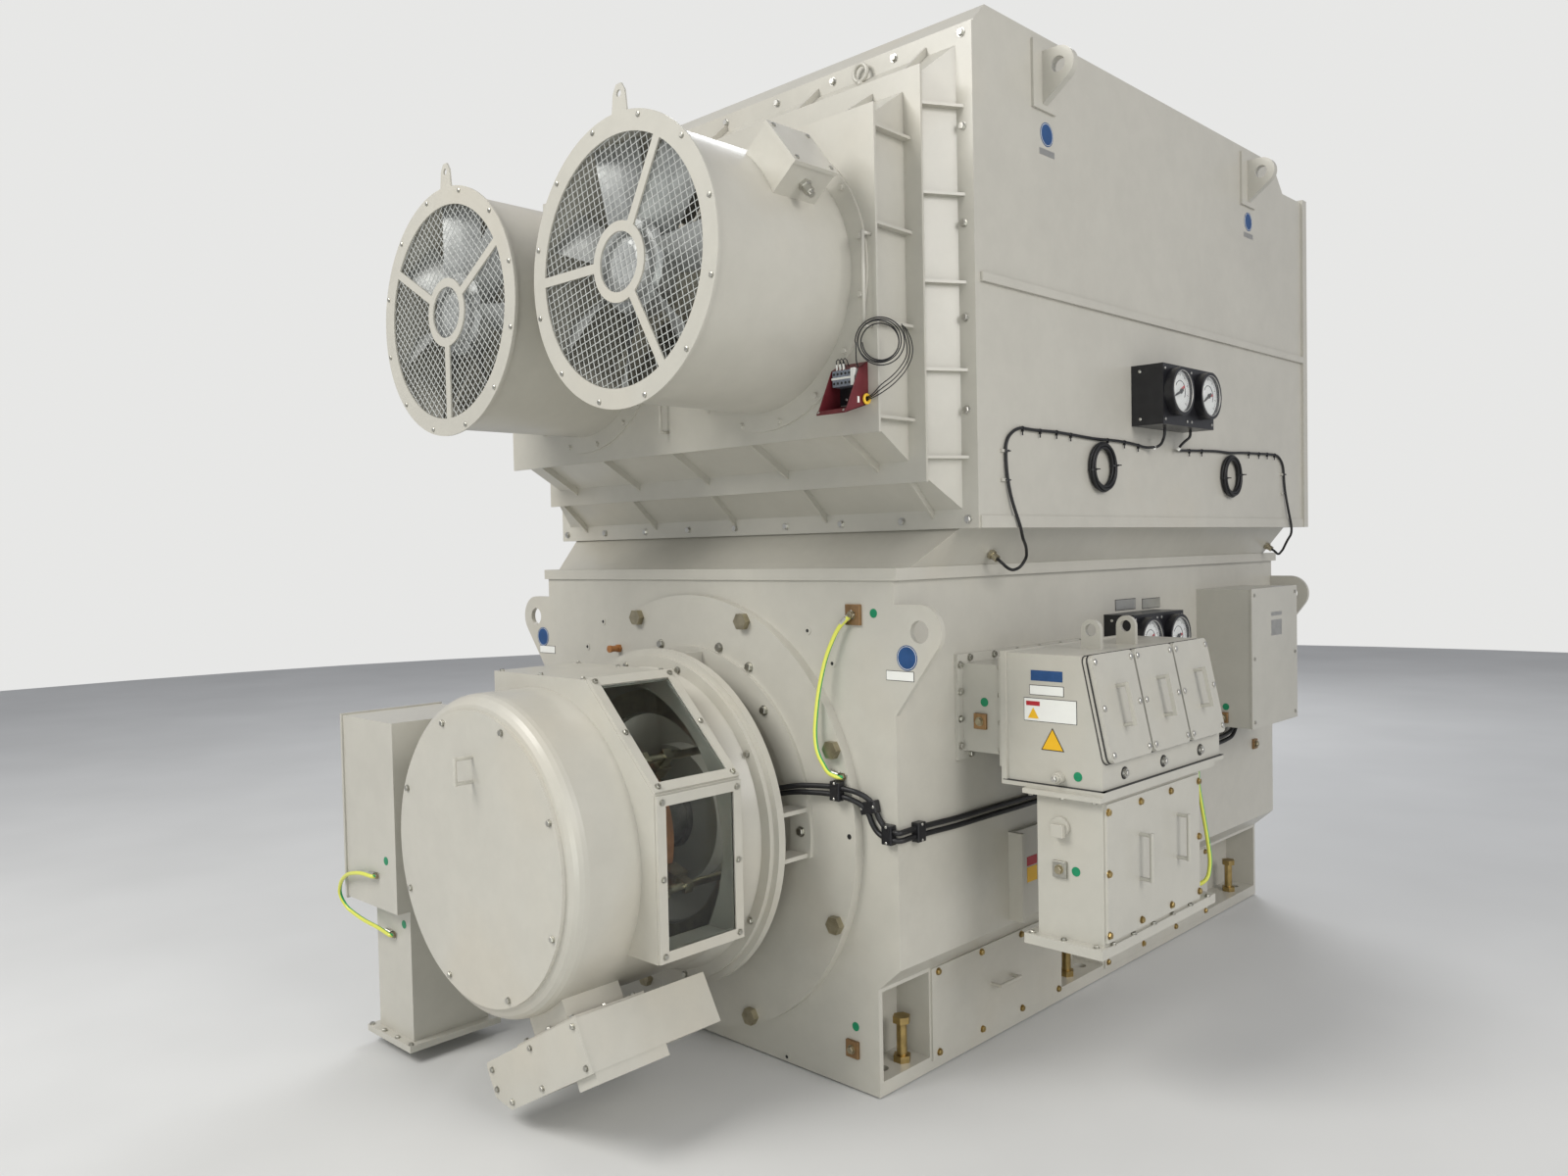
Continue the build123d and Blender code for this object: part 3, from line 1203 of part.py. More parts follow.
def gland_mouth(y):
    """The middle of the outer end of a sensor gland on the collar."""
    share = (COLLAR_GLAND_Z - FLANGE_TOP) / (COOLER_BASE - FLANGE_TOP)
    root = Vector(COLLAR_BASE_HALF + share * (COLLAR_TOP_HALF - COLLAR_BASE_HALF), y, COLLAR_GLAND_Z)
    return root + collar_normal() * COLLAR_GLAND_LENGTH


def collar_gland(y):
    """A round gland, with a hexagon at its root, that a capillary lead ends in."""
    out = collar_normal()
    start = gland_mouth(y) - out * (COLLAR_GLAND_LENGTH + COLLAR_SHEET / 2)
    body = extrude(Plane(origin=start, z_dir=out) * Circle(COLLAR_GLAND_R),
                   amount=COLLAR_GLAND_LENGTH + COLLAR_SHEET / 2)
    nut = extrude(Plane(origin=start, z_dir=out) * RegularPolygon(COLLAR_GLAND_R + 4, 6), amount=14)
    return body + nut


def cooler_side_outline(inset):
    top, base = COOLER_TOP - inset, COOLER_BASE
    front, back = COOLER_FRONT, COOLER_BACK
    head = COOLER_HEAD_BACK - inset
    step = COOLER_TOP - COOLER_HEAD_DROP - inset
    chamfer = COOLER_FRONT_CHAMFER
    return [(front, base), (front, top - chamfer), (front + chamfer, top), (head - COOLER_HEAD_DROP, top),
            (head, step), (back, step), (back, base)]


def cooler_lug(y):
    """A lifting eye that stands out from a backing pad on the cooler side."""
    x = COOLER_HALF_WIDTH
    width, height, thick = COOLER_PAD
    pad = block(x - 1, x + thick, y - width / 2, y + width / 2, COOLER_LUG_Z + 75 - height, COOLER_LUG_Z + 75)
    centre = (x + COOLER_LUG_REACH, COOLER_LUG_Z)
    low, high = y - COOLER_LUG_T / 2, y + COOLER_LUG_T / 2
    web = plate_xz([(x, COOLER_LUG_Z + COOLER_LUG_R), (centre[0], COOLER_LUG_Z + COOLER_LUG_R),
                    (centre[0] + 30, COOLER_LUG_Z - 40), (x, COOLER_LUG_Z - 105)], low, high)
    eye = rod_y(COOLER_LUG_R, low, high, centre)
    return (pad + web + eye) - rod_y(COOLER_LUG_HOLE_R, low - 1, high + 1, centre)


def cooler_side():
    """A side panel of the cooler with its stiffening bar, bottom rail and lifting eyes."""
    half = COOLER_HALF_WIDTH
    panel = plate_yz(cooler_side_outline(0), half - COOLER_SHEET, half)
    bar = block(half - 1, half + MID_BAR[0], COOLER_FRONT + 15, COOLER_BACK, MID_BAR_Z,
                MID_BAR_Z + MID_BAR[1])
    rail = block(half - 1, half + SIDE_RAIL[0], COOLER_FRONT, COOLER_BACK, COOLER_BASE,
                 COOLER_BASE + SIDE_RAIL[1])
    return fused([panel, bar, rail] + [cooler_lug(y) for y in COOLER_LUG_Y])


def cooler_roof():
    """The roof sheet, bent down at its front and stepped at its back."""
    half = COOLER_HALF_WIDTH - COOLER_SHEET
    roof = plate_yz(cooler_side_outline(0), -half, half)
    return roof - plate_yz(cooler_side_outline(COOLER_SHEET), -half, half)


def cooler_floor():
    """The flat frame round the openings in the floor of the cooler."""
    half = COOLER_HALF_WIDTH - COOLER_SHEET
    top = COOLER_BASE + COOLER_SHEET
    floor = block(-half, half, COOLER_FRONT, COOLER_BACK, COOLER_BASE, top)
    half -= COOLER_FLOOR_LIP - COOLER_SHEET
    return floor - block(-half, half, COOLER_FRONT + COOLER_FLOOR_LIP, COOLER_BACK - COOLER_FLOOR_LIP,
                         COOLER_BASE - 1, top + 1)


def outlet_frame():
    """The outlet flange with its upright bars."""
    half = COOLER_HALF_WIDTH + OUTLET_FLANGE_LIP
    top = COOLER_TOP - COOLER_HEAD_DROP + OUTLET_FLANGE_LIP
    frame = rect_frame(half, COOLER_BASE, top, OUTLET_FLANGE_W, COOLER_BACK, COOLER_BACK + OUTLET_FLANGE_T)
    pitch = 2 * (half - OUTLET_FLANGE_W) / (OUTLET_BARS + 1)
    for index in range(OUTLET_BARS):
        x = -half + OUTLET_FLANGE_W + pitch * (index + 1)
        frame = frame + block(x - OUTLET_BAR_W / 2, x + OUTLET_BAR_W / 2, COOLER_BACK,
                              COOLER_BACK + COOLER_SHEET * 2, COOLER_BASE + 20, top - 20)
    return frame


def tube_places():
    """The X and Z of every cooler tube."""
    columns, rows = TUBE_GRID
    middle = (COOLER_BASE + COOLER_TOP - COOLER_HEAD_DROP) / 2
    return [((column - (columns - 1) / 2) * TUBE_PITCH[0], middle + (row - (rows - 1) / 2) * TUBE_PITCH[1])
            for column in range(columns) for row in range(rows)]


def tube_sheet(y0, y1):
    """A plate that the ends of the cooler tubes are rolled into."""
    half = COOLER_HALF_WIDTH - COOLER_SHEET - HOLE_GAP
    base = COOLER_BASE + COOLER_SHEET + HOLE_GAP
    top = COOLER_TOP - COOLER_HEAD_DROP - COOLER_SHEET - HOLE_GAP
    sheet = block(-half, half, y0, y1, base, top)
    for place in tube_places():
        sheet = sheet - prism_y(TUBE_R + SEAT_GAP, y0 - 1, y1 + 1, place, TUBE_SIDES)
    return sheet


def tube_bundle():
    """The two tube sheets and the tubes between them, as separate pieces."""
    low_y, high_y = TUBE_SHEET_Y
    sheets = [tube_sheet(low_y, low_y + TUBE_SHEET_T), tube_sheet(high_y - TUBE_SHEET_T, high_y)]
    return sheets + [prism_y(TUBE_R, low_y, high_y, place, TUBE_SIDES) for place in tube_places()]


def stage_loft(half0, z0, y0, half1, z1, y1, skin):
    """A tapering stage between two rectangles across Y, as a thin shell."""
    solids = []
    for inset, extra in ((0, 0), (skin, 1)):
        faces = []
        for half, (low, high), y in ((half0, z0, y0 + extra), (half1, z1, y1 - extra)):
            plane = Plane(origin=(0, y, (low + high) / 2), x_dir=(1, 0, 0), z_dir=(0, -1, 0))
            faces.append(plane * Rectangle(2 * (half - inset), high - low - 2 * inset))
        solids.append(loft(faces, ruled=True))
    return solids[0] - solids[1]


def stage_ribs(back, front, rows_x, rows_z):
    """Fins along the bottom, top and sides of a stage. Each end is (y, half width, low z, high z)."""
    (yb, hb, lb, tb), (yf, hf, lf, tf) = back, front
    t, proud = STAGE_RIB_T / 2, STAGE_RIB_PROUD
    shapes = []
    for x in rows_x:
        for inner, outer in (((lb, lf), -1), ((tb, tf), 1)):
            points = [(yb, inner[0] - outer * 4), (yf, inner[1] - outer * 4),
                      (yf, inner[1] + outer * proud), (yb, inner[0] + outer * proud)]
            shapes.append(plate_yz(points, x - t, x + t))
    for z in rows_z:
        fin = loft_fin(yb, hb, yf, hf, z, proud)
        shapes += both_sides(fin)
    return shapes


def loft_fin(yb, hb, yf, hf, z, proud):
    """A level fin on the side of a stage."""
    points = [(hb - 4, yb), (hf - 4, yf), (hf + proud, yf), (hb + proud, yb)]
    plane = Plane(origin=(0, 0, z - STAGE_RIB_T / 2))
    return extrude(plane * make_face(Polyline(*points, close=True)), amount=STAGE_RIB_T)


def inlet_hood():
    """The stepped inlet hood with its flanges, fins and fan plate."""
    half = COOLER_HALF_WIDTH
    t = HOOD_FLANGE_T
    front = rect_frame(half, COOLER_BASE, FRONT_FLANGE_TOP, FRONT_FLANGE_W, COOLER_FRONT - t, COOLER_FRONT)
    mid = rect_frame(MID_FLANGE_HALF, MID_FLANGE_Z[0], MID_FLANGE_Z[1], MID_FLANGE_W, MID_FLANGE_Y,
                     MID_FLANGE_Y + t)
    inner_half = half - FRONT_FLANGE_W
    stage1_back = (COOLER_FRONT - t, inner_half + 4, COOLER_BASE + FRONT_FLANGE_W - 4,
                   FRONT_FLANGE_TOP - FRONT_FLANGE_W + 4)
    stage1_front = (MID_FLANGE_Y + t, MID_FLANGE_HALF - 24, MID_FLANGE_Z[0] + 24, MID_FLANGE_Z[1] - 24)
    stage2_back = (MID_FLANGE_Y, MID_FLANGE_HALF - MID_FLANGE_W + 4, MID_FLANGE_Z[0] + MID_FLANGE_W - 4,
                   MID_FLANGE_Z[1] - MID_FLANGE_W + 4)
    stage2_front = (FAN_PLATE_Y + t, FAN_PLATE_HALF - FAN_PLATE_EDGE, FAN_PLATE_Z[0] + FAN_PLATE_EDGE,
                    FAN_PLATE_Z[1] - FAN_PLATE_EDGE)
    shapes = [front, mid]
    for back, ahead, rows_x, rows_z in ((stage1_back, stage1_front, STAGE1_FIN_X, STAGE1_FIN_Z),
                                        (stage2_back, stage2_front, STAGE2_FIN_X, STAGE2_FIN_Z)):
        shapes.append(stage_loft(back[1], back[2:], back[0], ahead[1], ahead[2:], ahead[0], STAGE_SHEET))
        shapes += stage_ribs(back, ahead, rows_x, rows_z)
    plate = block(-FAN_PLATE_HALF, FAN_PLATE_HALF, FAN_PLATE_Y, FAN_PLATE_Y + t, FAN_PLATE_Z[0],
                  FAN_PLATE_Z[1])
    for x in (-FAN_X, FAN_X):
        plate = plate - rod_y(DUCT_R - DUCT_SHEET, FAN_PLATE_Y - 1, FAN_PLATE_Y + t + 1, (x, FAN_Z))
    shapes.append(plate)
    return fused(shapes)


# Fans

def fan_duct(x, junction_side):
    """A fan casing: the tube, its two flanges, and the motor bracket inside."""
    centre = (x, FAN_Z)
    inner = DUCT_R - DUCT_SHEET
    duct = ring_y(DUCT_R, inner, DUCT_FRONT, FAN_PLATE_Y, centre)
    duct = duct + ring_y(DUCT_BASE_R, inner, FAN_PLATE_Y - DUCT_FLANGE_T, FAN_PLATE_Y, centre)
    duct = duct + ring_y(GUARD_R - 4, inner, DUCT_FRONT, DUCT_FRONT + DUCT_FLANGE_T, centre)
    y0 = motor_limits()[0] + 50
    clamp = ring_y(MOTOR_R + 8, MOTOR_R + SEAT_GAP, y0, y0 + STRUT_W, centre)
    duct = duct + clamp
    for angle in (45, 135, 225, 315):
        strut = block(x - STRUT_T / 2, x + STRUT_T / 2, y0, y0 + STRUT_W, FAN_Z + MOTOR_R + 4,
                      FAN_Z + inner + 2)
        duct = duct + swing(strut, angle, centre)
    return duct


def motor_limits():
    """The Y limits of a fan motor, behind its impeller."""
    front = FAN_HUB_FRONT + FAN_HUB_DEPTH + MOTOR_GAP
    return front, front + MOTOR_LENGTH


def fan_motor(x):
    """A fan motor body with cooling fins and its shaft end."""
    y0, y1 = motor_limits()
    centre = (x, FAN_Z)
    body = rod_y(MOTOR_R, y0 + 12, y1 - 12, centre)
    body = body + rod_y(MOTOR_R - 16, y0, y1, centre)
    return body + rod_y(MOTOR_SHAFT_R, FAN_HUB_FRONT + 20, y0 + 1, centre)


def blade_section(radius, chord, pitch, thick):
    """A blade section square to the radius: a flat lens shape set at its pitch."""
    plane = Plane(origin=(0, 0, radius), x_dir=(cos(radians(pitch)), sin(radians(pitch)), 0), z_dir=(0, 0, 1))
    half = chord / 2
    lens = [(-half, 0), (-half * 0.1, thick), (half, thick * 0.25), (0, -thick * 0.2)]
    return plane * make_face(Polyline(*lens, close=True))


def impeller(x, first_angle):
    """An axial fan wheel: a domed hub and twisted blades."""
    centre = (x, FAN_Z)
    y0 = FAN_HUB_FRONT
    y1 = y0 + FAN_HUB_DEPTH
    hub = turned([(y0, MOTOR_SHAFT_R + 30), (y0 + 12, FAN_HUB_R - 12), (y0 + 24, FAN_HUB_R), (y1, FAN_HUB_R),
                  (y1, FAN_HUB_R - 8), (y0 + 34, FAN_HUB_R - 10), (y0 + 34, 40), (y1 - 10, 40),
                  (y1 - 10, MOTOR_SHAFT_R + SEAT_GAP), (y0 + 20 - SEAT_GAP, MOTOR_SHAFT_R + SEAT_GAP),
                  (y0 + 20 - SEAT_GAP, 0), (y0, 0)], centre)
    tip = DUCT_R - DUCT_SHEET - FAN_TIP_GAP
    root = FAN_HUB_R - 6
    middle = (y0 + y1) / 2 + 4
    sections = [blade_section(root, BLADE_CHORD[0], BLADE_PITCH[0], BLADE_T[0]),
                blade_section(tip, BLADE_CHORD[1], BLADE_PITCH[1], BLADE_T[1])]
    blade = Pos(x, middle, FAN_Z) * loft(sections, ruled=True)
    for index in range(FAN_BLADE_COUNT):
        hub = hub + swing(blade, first_angle + index * 360 / FAN_BLADE_COUNT, centre)
    return hub


def fan_guard(x, spokes):
    """The guard frame: outer ring, hub ring, three spokes and a lifting tab."""
    centre = (x, FAN_Z)
    y0, y1 = DUCT_FRONT - GUARD_T, DUCT_FRONT
    guard = ring_y(GUARD_R, GUARD_OPENING_R, y0, y1, centre)
    guard = guard + ring_y(GUARD_HUB_R[1], GUARD_HUB_R[0], y0, y1, centre)
    for angle in spokes:
        spoke = block(x - SPOKE_W / 2, x + SPOKE_W / 2, y0, y1, FAN_Z + GUARD_HUB_R[1] - 3,
                      FAN_Z + GUARD_OPENING_R + 3)
        guard = guard + swing(spoke, angle, centre)
    top = FAN_Z + GUARD_R
    tab_x = x + 18
    tab = plate_xz([(tab_x - TAB_HALF, top - 16), (tab_x + TAB_HALF, top - 16),
                    (tab_x + TAB_HALF * 0.75, top + TAB_HEIGHT - 20), (tab_x + 10, top + TAB_HEIGHT),
                    (tab_x - 10, top + TAB_HEIGHT), (tab_x - TAB_HALF * 0.75, top + TAB_HEIGHT - 20)], y0, y1)
    hole = rod_y(9, y0 - 1, y1 + 1, (tab_x, top + TAB_HEIGHT - 24))
    return (guard + tab) - hole


def junction_box(side):
    """A fan's terminal box on the outer shoulder of its duct."""
    width, length, height = JUNCTION_SIZE
    x = side * FAN_X
    centre = (x, FAN_Z)
    box = block(x - width / 2, x + width / 2, JUNCTION_Y - length / 2, JUNCTION_Y + length / 2,
                FAN_Z + DUCT_R - 20, FAN_Z + DUCT_R + height)
    lid = block(x - width / 2 - 3, x + width / 2 + 3, JUNCTION_Y - length / 2 - 3,
                JUNCTION_Y + length / 2 + 3, FAN_Z + DUCT_R + height - 10, FAN_Z + DUCT_R + height)
    box = (box + lid) - rod_y(DUCT_R + SEAT_GAP, JUNCTION_Y - length, JUNCTION_Y + length, centre)
    return swing(box, side * JUNCTION_ANGLE, centre)


# Dial thermometers

def dial_centres(gauge):
    """The Y and Z of the two dials of a gauge box, given its lower corner."""
    y0, z0 = gauge
    middle = y0 + GAUGE_W / 2
    return [(middle + side * DIAL_SPACING / 2, z0 + GAUGE_H * 0.55) for side in (-1, 1)]


def gauge_box(wall_x, gauge):
    """A gauge box on a wall, with two bezels that stand out and a pin in each dial."""
    y0, z0 = gauge
    face = wall_x + GAUGE_D
    box = block(wall_x, face, y0, y0 + GAUGE_W, z0, z0 + GAUGE_H)
    for y, z in dial_centres(gauge):
        box = box + rod_x(BEZEL_R, face - 1, face + BEZEL_PROUD, y, z)
        box = box - rod_x(DIAL_R, face + BEZEL_PROUD - DIAL_RECESS, face + BEZEL_PROUD + 1, y, z)
        floor = face + BEZEL_PROUD - DIAL_RECESS
        box = box + rod_x(PIN_R, floor - 1, floor + PIN_LENGTH, y, z)
    return box


def pointer(wall_x, place, angle):
    """A pointer on its pin, turned to its resting angle from straight up."""
    y, z = place
    floor = wall_x + GAUGE_D + BEZEL_PROUD - DIAL_RECESS
    low, high = floor + 3, floor + 3 + POINTER_T
    hand = plate_yz([(y - 4, z - POINTER_TAIL), (y + 4, z - POINTER_TAIL), (y + 3, z + POINTER_LENGTH * 0.6),
                     (y, z + POINTER_LENGTH), (y - 3, z + POINTER_LENGTH * 0.6)], low, high)
    hand = hand + rod_x(PIN_R + 4, low, high, y, z)
    hand = Pos(0, y, z) * Rot(angle, 0, 0) * Pos(0, -y, -z) * hand
    return hand - rod_x(PIN_R + POINTER_GAP, low - 1, high + 1, y, z)


# Leads

def corner_radii(points):
    """The largest even bends of a route: 0.45 of the shorter run beside each corner."""
    radii = []
    for before, corner, after in zip(points, points[1:], points[2:]):
        arriving, leaving = Vector(corner) - Vector(before), Vector(after) - Vector(corner)
        half_turn = radians(arriving.get_angle(leaving) / 2)
        radii.append(0.45 * min(arriving.length, leaving.length) / tan(half_turn))
    return radii


def lead(points, radius):
    """A round lead along a route, with its bend radii printed."""
    radii = corner_radii(points)
    print("lead radii", [round(value) for value in radii])
    route = FilletPolyline(*points, radius=radii).wire()
    tube = sweep(Plane(origin=route @ 0, z_dir=route % 0) * Circle(radius), path=route)
    share = tube.volume / (route.length * pi * radius ** 2)
    print("lead length", round(route.length), "volume to section times length", round(share, 3))
    return tube


def capillary_leads():
    """The sensor leads of the cooler thermometer, clipped along the side panel to the collar."""
    start = COOLER_GAUGE[1]
    left = [(1000, -121, start), (1000, -121, 1854), (979, -108, 1819), (950, -150, 1815), (948, -240, 1825),
            (948, -350, 1829), (948, -470, 1827), (948, -590, 1832), (948, -705, 1836), (948, -815, 1834),
            (948, -900, 1838), (948, -960, 1800), (949, -957, 1709), (951, -940, 1640), (955, -900, 1560),
            (945, -875, 1530), (915, -810, 1505), (885, -762, 1475), (872, -772, 1447), (868, -808, 1437),
            (868, -839, 1446)] + gland_approach(COLLAR_GLAND_Y[0])
    right = [(1000, 63, start), (1000, 63, 1858), (977, 40, 1832), (950, 75, 1817), (948, 165, 1821),
             (948, 275, 1825), (948, 390, 1829), (948, 495, 1827), (948, 600, 1833), (948, 715, 1835),
             (948, 830, 1838), (948, 930, 1838), (948, 985, 1805), (949, 994, 1713), (952, 1012, 1650),
             (956, 1045, 1562), (946, 1070, 1532), (915, 1105, 1505), (888, 1130, 1468),
             (872, 1124, 1448)] + gland_approach(COLLAR_GLAND_Y[1])
    return [lead(left, CAPILLARY_R), lead(right, CAPILLARY_R)]


def gland_approach(y):
    """The last two points of a lead, square to the mouth of its gland."""
    mouth = gland_mouth(y)
    return [tuple(mouth + collar_normal() * 16), tuple(mouth)]


def side_cables():
    """Two cables side by side: out of the bearing housing, round the frame, into the auxiliary box."""
    front = [(270, -1345, 785), (325, -1354, 799), (400, -1340, 820), (470, -1320, 836), (540, -1314, 842),
             (600, -1310, 846), (668, -1302, 839), (694, -1285, 824), (708, -1270, 798), (718, -1269, 770),
             (738, -1269, 748), (768, -1270, 738)]
    side = [(802, -1273, 737), (801, -1220, 738), (799, -1120, 736), (797, -1000, 731), (798, -840, 732),
            (797, -660, 730), (798, -480, 733), (797, -300, 731), (798, -110, 734), (798, 80, 733),
            (799, 270, 736), (800, 450, 735), (801, 610, 738), (803, 740, 741)]
    cables = []
    for step in (-CABLE_STEP, CABLE_STEP):
        route = [(270 + step, NDE - SHIELD_T - HOUSING_FLANGE_T, 785 + step)]
        route += [(x + step, y, z + step) for x, y, z in front]
        route += [(x, y, z + step) for x, y, z in side]
        riser = 843 - step * 1.4
        route += [(806, 815 - step, 752 + step), (809, riser, 784), (809, riser, AUX_Z[0])]
        cables.append(lead(route, CABLE_R))
    return cables


def earth_leads():
    """The flexible earth leads across the end shield, at the rotor box and beside the cable box."""
    shield_face = NDE - SHIELD_T
    shield = [(652, NDE, 1329), (652, -1277, 1329), (610, -1283, 1294), (571, -1292, 1216),
              (549, -1306, 1104), (546, -1318, 1000), (557, -1322, 945), (598, -1322, 893), (627, -1310, 883),
              (627, shield_face, 883)]
    rotor = [(-615, ROTOR_BOX_Y[0], 546), (-615, -2047, 546), (-680, -2054, 549), (-770, -2051, 530),
             (-835, -2043, 494), (-866, -2036, 445), (-836, -2026, 404), (-752, -2016, 380),
             (-665, -2007, 370), (-602, -2002, 357), (-602, CABLE_DUCT_Y[0], 357)]
    cable = [(1236, -415, BOX_Z[0] - CABLE_BOX_FLANGE_T), (1236, -415, 805), (1242, -404, 735),
             (1250, -389, 650), (1255, -376, 565), (1248, -382, 512), (1220, -408, 492),
             (1220, -408, CABLE_BOX_BASE + CABLE_BOX_FLANGE_T)]
    return [lead(route, EARTH_R) for route in (shield, rotor, cable)]


def lead_coil(y):
    """A tied coil of spare lead that rests against the cooler side, as one ring."""
    corners = [around(COIL_SECTION_R, (side + 0.5) * 45, (0, COIL_R)) for side in range(8)]
    ring = turned([(across, radius) for across, radius in corners], (0, COIL_Z))
    flat = COIL_SECTION_R * cos(radians(22.5))
    return Pos(COOLER_HALF_WIDTH + flat, y, 0) * Rot(0, 0, 90) * ring


def main():
    export("frame_end_plates", [end_plate(NDE, 1), end_plate(DE, -1)])
    export("frame_side_sheets", both_sides(side_sheet()))
    export("frame_bottom_pan", bottom_pan())
    export("frame_core_plates", [core_plate(step * CORE_PLATE_SPACING) for step in (-1.5, -0.5, 0.5, 1.5)])
    export("frame_top_flange", top_flange())
    export("foot_rails", [side for plate in foot_rail() for side in both_sides(plate)])
    export("jacking_bolts", [b for x, y in jack_places() for b in both_sides(jacking_bolt(x, y))])
    _, bays = foot_bays()
    covers = [bay_cover(y0, y1) for y0, y1 in bays] + [heater_cover()]
    export("access_covers", [side for cover in covers for side in both_sides(cover)])

    half_core = CORE_LENGTH / 2
    export("stator_core", ring_y(CORE_R, AIR_GAP_R, -half_core, half_core))
    export("stator_winding", [winding_head(-half_core, -1), winding_head(half_core, 1)])
    export("rotor_core", ring_y(AIR_GAP_R - AIR_GAP, SHAFT_CORE_R + SEAT_GAP, -half_core, half_core))
    export("rotor_winding", [rotor_winding_head(-half_core, -1), rotor_winding_head(half_core, 1)])
    export("shaft", shaft())
    export("shaft_fans", [shaft_fan(-1), shaft_fan(1)])

    export("nde_end_shield", end_shield(-1))
    export("de_end_shield", end_shield(1))
    export("shield_bolts", shield_bolts(-1) + shield_bolts(1))
    export("bearing_housings", [bearing_housing(-1), bearing_housing(1)])
    export("bearing_outer_rings", [bearing_outer_ring(-1), bearing_outer_ring(1)])
    export("bearing_inner_rings", [bearing_inner_ring(-1), bearing_inner_ring(1)])

    export("slip_ring_hub", slip_ring_hub())
    export("slip_rings", slip_rings())
    export("brush_gear", brush_gear())
    export("carbon_brushes", brushes())
    export("lantern_ring", lantern())
    export("slip_ring_housing", slip_ring_housing())
    export("housing_end_cover", housing_end_cover())
    export("window_frames", [window_frame(False), window_frame(True)])
    export("window_panes", [window_pane(False), window_pane(True)])
    export("filter_box", filter_box())
    export("filter_cover", filter_cover())

    export("rotor_terminal_box", rotor_terminal_box())
    export("rotor_cable_duct", rotor_cable_duct())

    export("terminal_adapter", terminal_adapter())
    export("main_terminal_box", main_terminal_box())
    places, width = cover_places()
    export("sloping_covers", [slope_cover(y, width) for y in places])
    export("phase_bushings", [phase_bushing(y) for y in places])
    export("main_cable_box", main_cable_box())
    export("cable_box_cover", cable_box_cover())
    export("gland_plates", [cable_gland_plate(), rotor_gland_plate()])
    export("aux_terminal_box", aux_terminal_box())
    export("flat_box_covers", [aux_box_cover(), rotor_box_cover()])

    export("cooler_collar", cooler_collar())
    export("cooler_casing", both_sides(cooler_side()) + [cooler_roof(), cooler_floor(), outlet_frame()])
    export("cooler_tube_bundle", tube_bundle())
    export("inlet_hood", inlet_hood())

    export("fan_ducts", [fan_duct(-FAN_X, -1), fan_duct(FAN_X, 1)])
    export("fan_guards", [fan_guard(-FAN_X, SPOKES_LEFT), fan_guard(FAN_X, SPOKES_RIGHT)])
    export("fan_motors", [fan_motor(-FAN_X), fan_motor(FAN_X)])
    export("impeller_left", impeller(-FAN_X, 0))
    export("impeller_right", impeller(FAN_X, 38))
    export("fan_junction_boxes", [junction_box(-1), junction_box(1)])

    cooler_x, frame_x = COOLER_HALF_WIDTH, BODY_HALF_WIDTH
    export("gauge_boxes", [gauge_box(cooler_x, COOLER_GAUGE), gauge_box(frame_x, FRAME_GAUGE)])
    hands = [(cooler_x, place) for place in dial_centres(COOLER_GAUGE)]
    hands += [(frame_x, place) for place in dial_centres(FRAME_GAUGE)]
    for index, (wall, place) in enumerate(hands):
        export("gauge_pointer_" + str(index + 1), pointer(wall, place, POINTER_ANGLES[index]))

    export("instrument_leads", capillary_leads() + side_cables())
    export("lead_coils", [lead_coil(y) for y in COIL_Y])
    export("earth_leads", earth_leads())


main()
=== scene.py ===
import json
from math import atan2, cos, hypot, pi, radians, sin

import bmesh
import bpy
from mathutils import Matrix, Vector


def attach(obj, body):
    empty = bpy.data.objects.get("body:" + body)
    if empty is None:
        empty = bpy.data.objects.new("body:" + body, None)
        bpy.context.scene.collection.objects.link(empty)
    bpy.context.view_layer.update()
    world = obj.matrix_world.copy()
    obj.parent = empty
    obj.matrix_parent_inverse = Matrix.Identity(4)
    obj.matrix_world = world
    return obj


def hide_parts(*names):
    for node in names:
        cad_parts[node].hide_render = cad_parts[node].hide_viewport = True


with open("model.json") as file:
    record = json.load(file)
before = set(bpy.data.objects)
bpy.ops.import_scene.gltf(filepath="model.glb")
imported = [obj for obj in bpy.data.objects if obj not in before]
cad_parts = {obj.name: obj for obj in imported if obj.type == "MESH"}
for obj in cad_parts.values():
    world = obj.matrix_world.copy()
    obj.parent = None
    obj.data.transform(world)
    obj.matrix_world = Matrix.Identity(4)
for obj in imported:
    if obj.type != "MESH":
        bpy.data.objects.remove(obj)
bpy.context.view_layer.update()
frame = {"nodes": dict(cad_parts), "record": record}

# Sizes of the part, in metres, as the solids have them
SHAFT_Z = 0.710
END_FACE = 1.260
SHIELD_FACE = -1.291
BODY_X = 0.789
FOOT_X = 0.711
COOLER_X = 0.942
FAN_X, FAN_Z = 0.412, 2.238
SIDES = ((1, "right"), (-1, "left"))
FRONT = Vector((0, -1, 0))
RIGHT = Vector((1, 0, 0))
LEFT = Vector((-1, 0, 0))
BACK = Vector((0, 1, 0))
UP = Vector((0, 0, 1))
DOWN = Vector((0, 0, -1))

# The camera, solved from the photograph's straight edges
CAMERA_PLACE = (2.77143, -3.73269, 1.51188)
CAMERA_FORWARD = (-0.69432, 0.71893, -0.03252)
CAMERA_UP = (-0.00769, 0.03777, 0.99926)
CAMERA_LENS = 27.231
CAMERA_SENSOR = 36.0


def nodes_of(material):
    return material.node_tree.nodes, material.node_tree.links


def new_material(name):
    material = bpy.data.materials.new(name)
    material.use_nodes = True
    return material


def principled(material):
    return material.node_tree.nodes["Principled BSDF"]


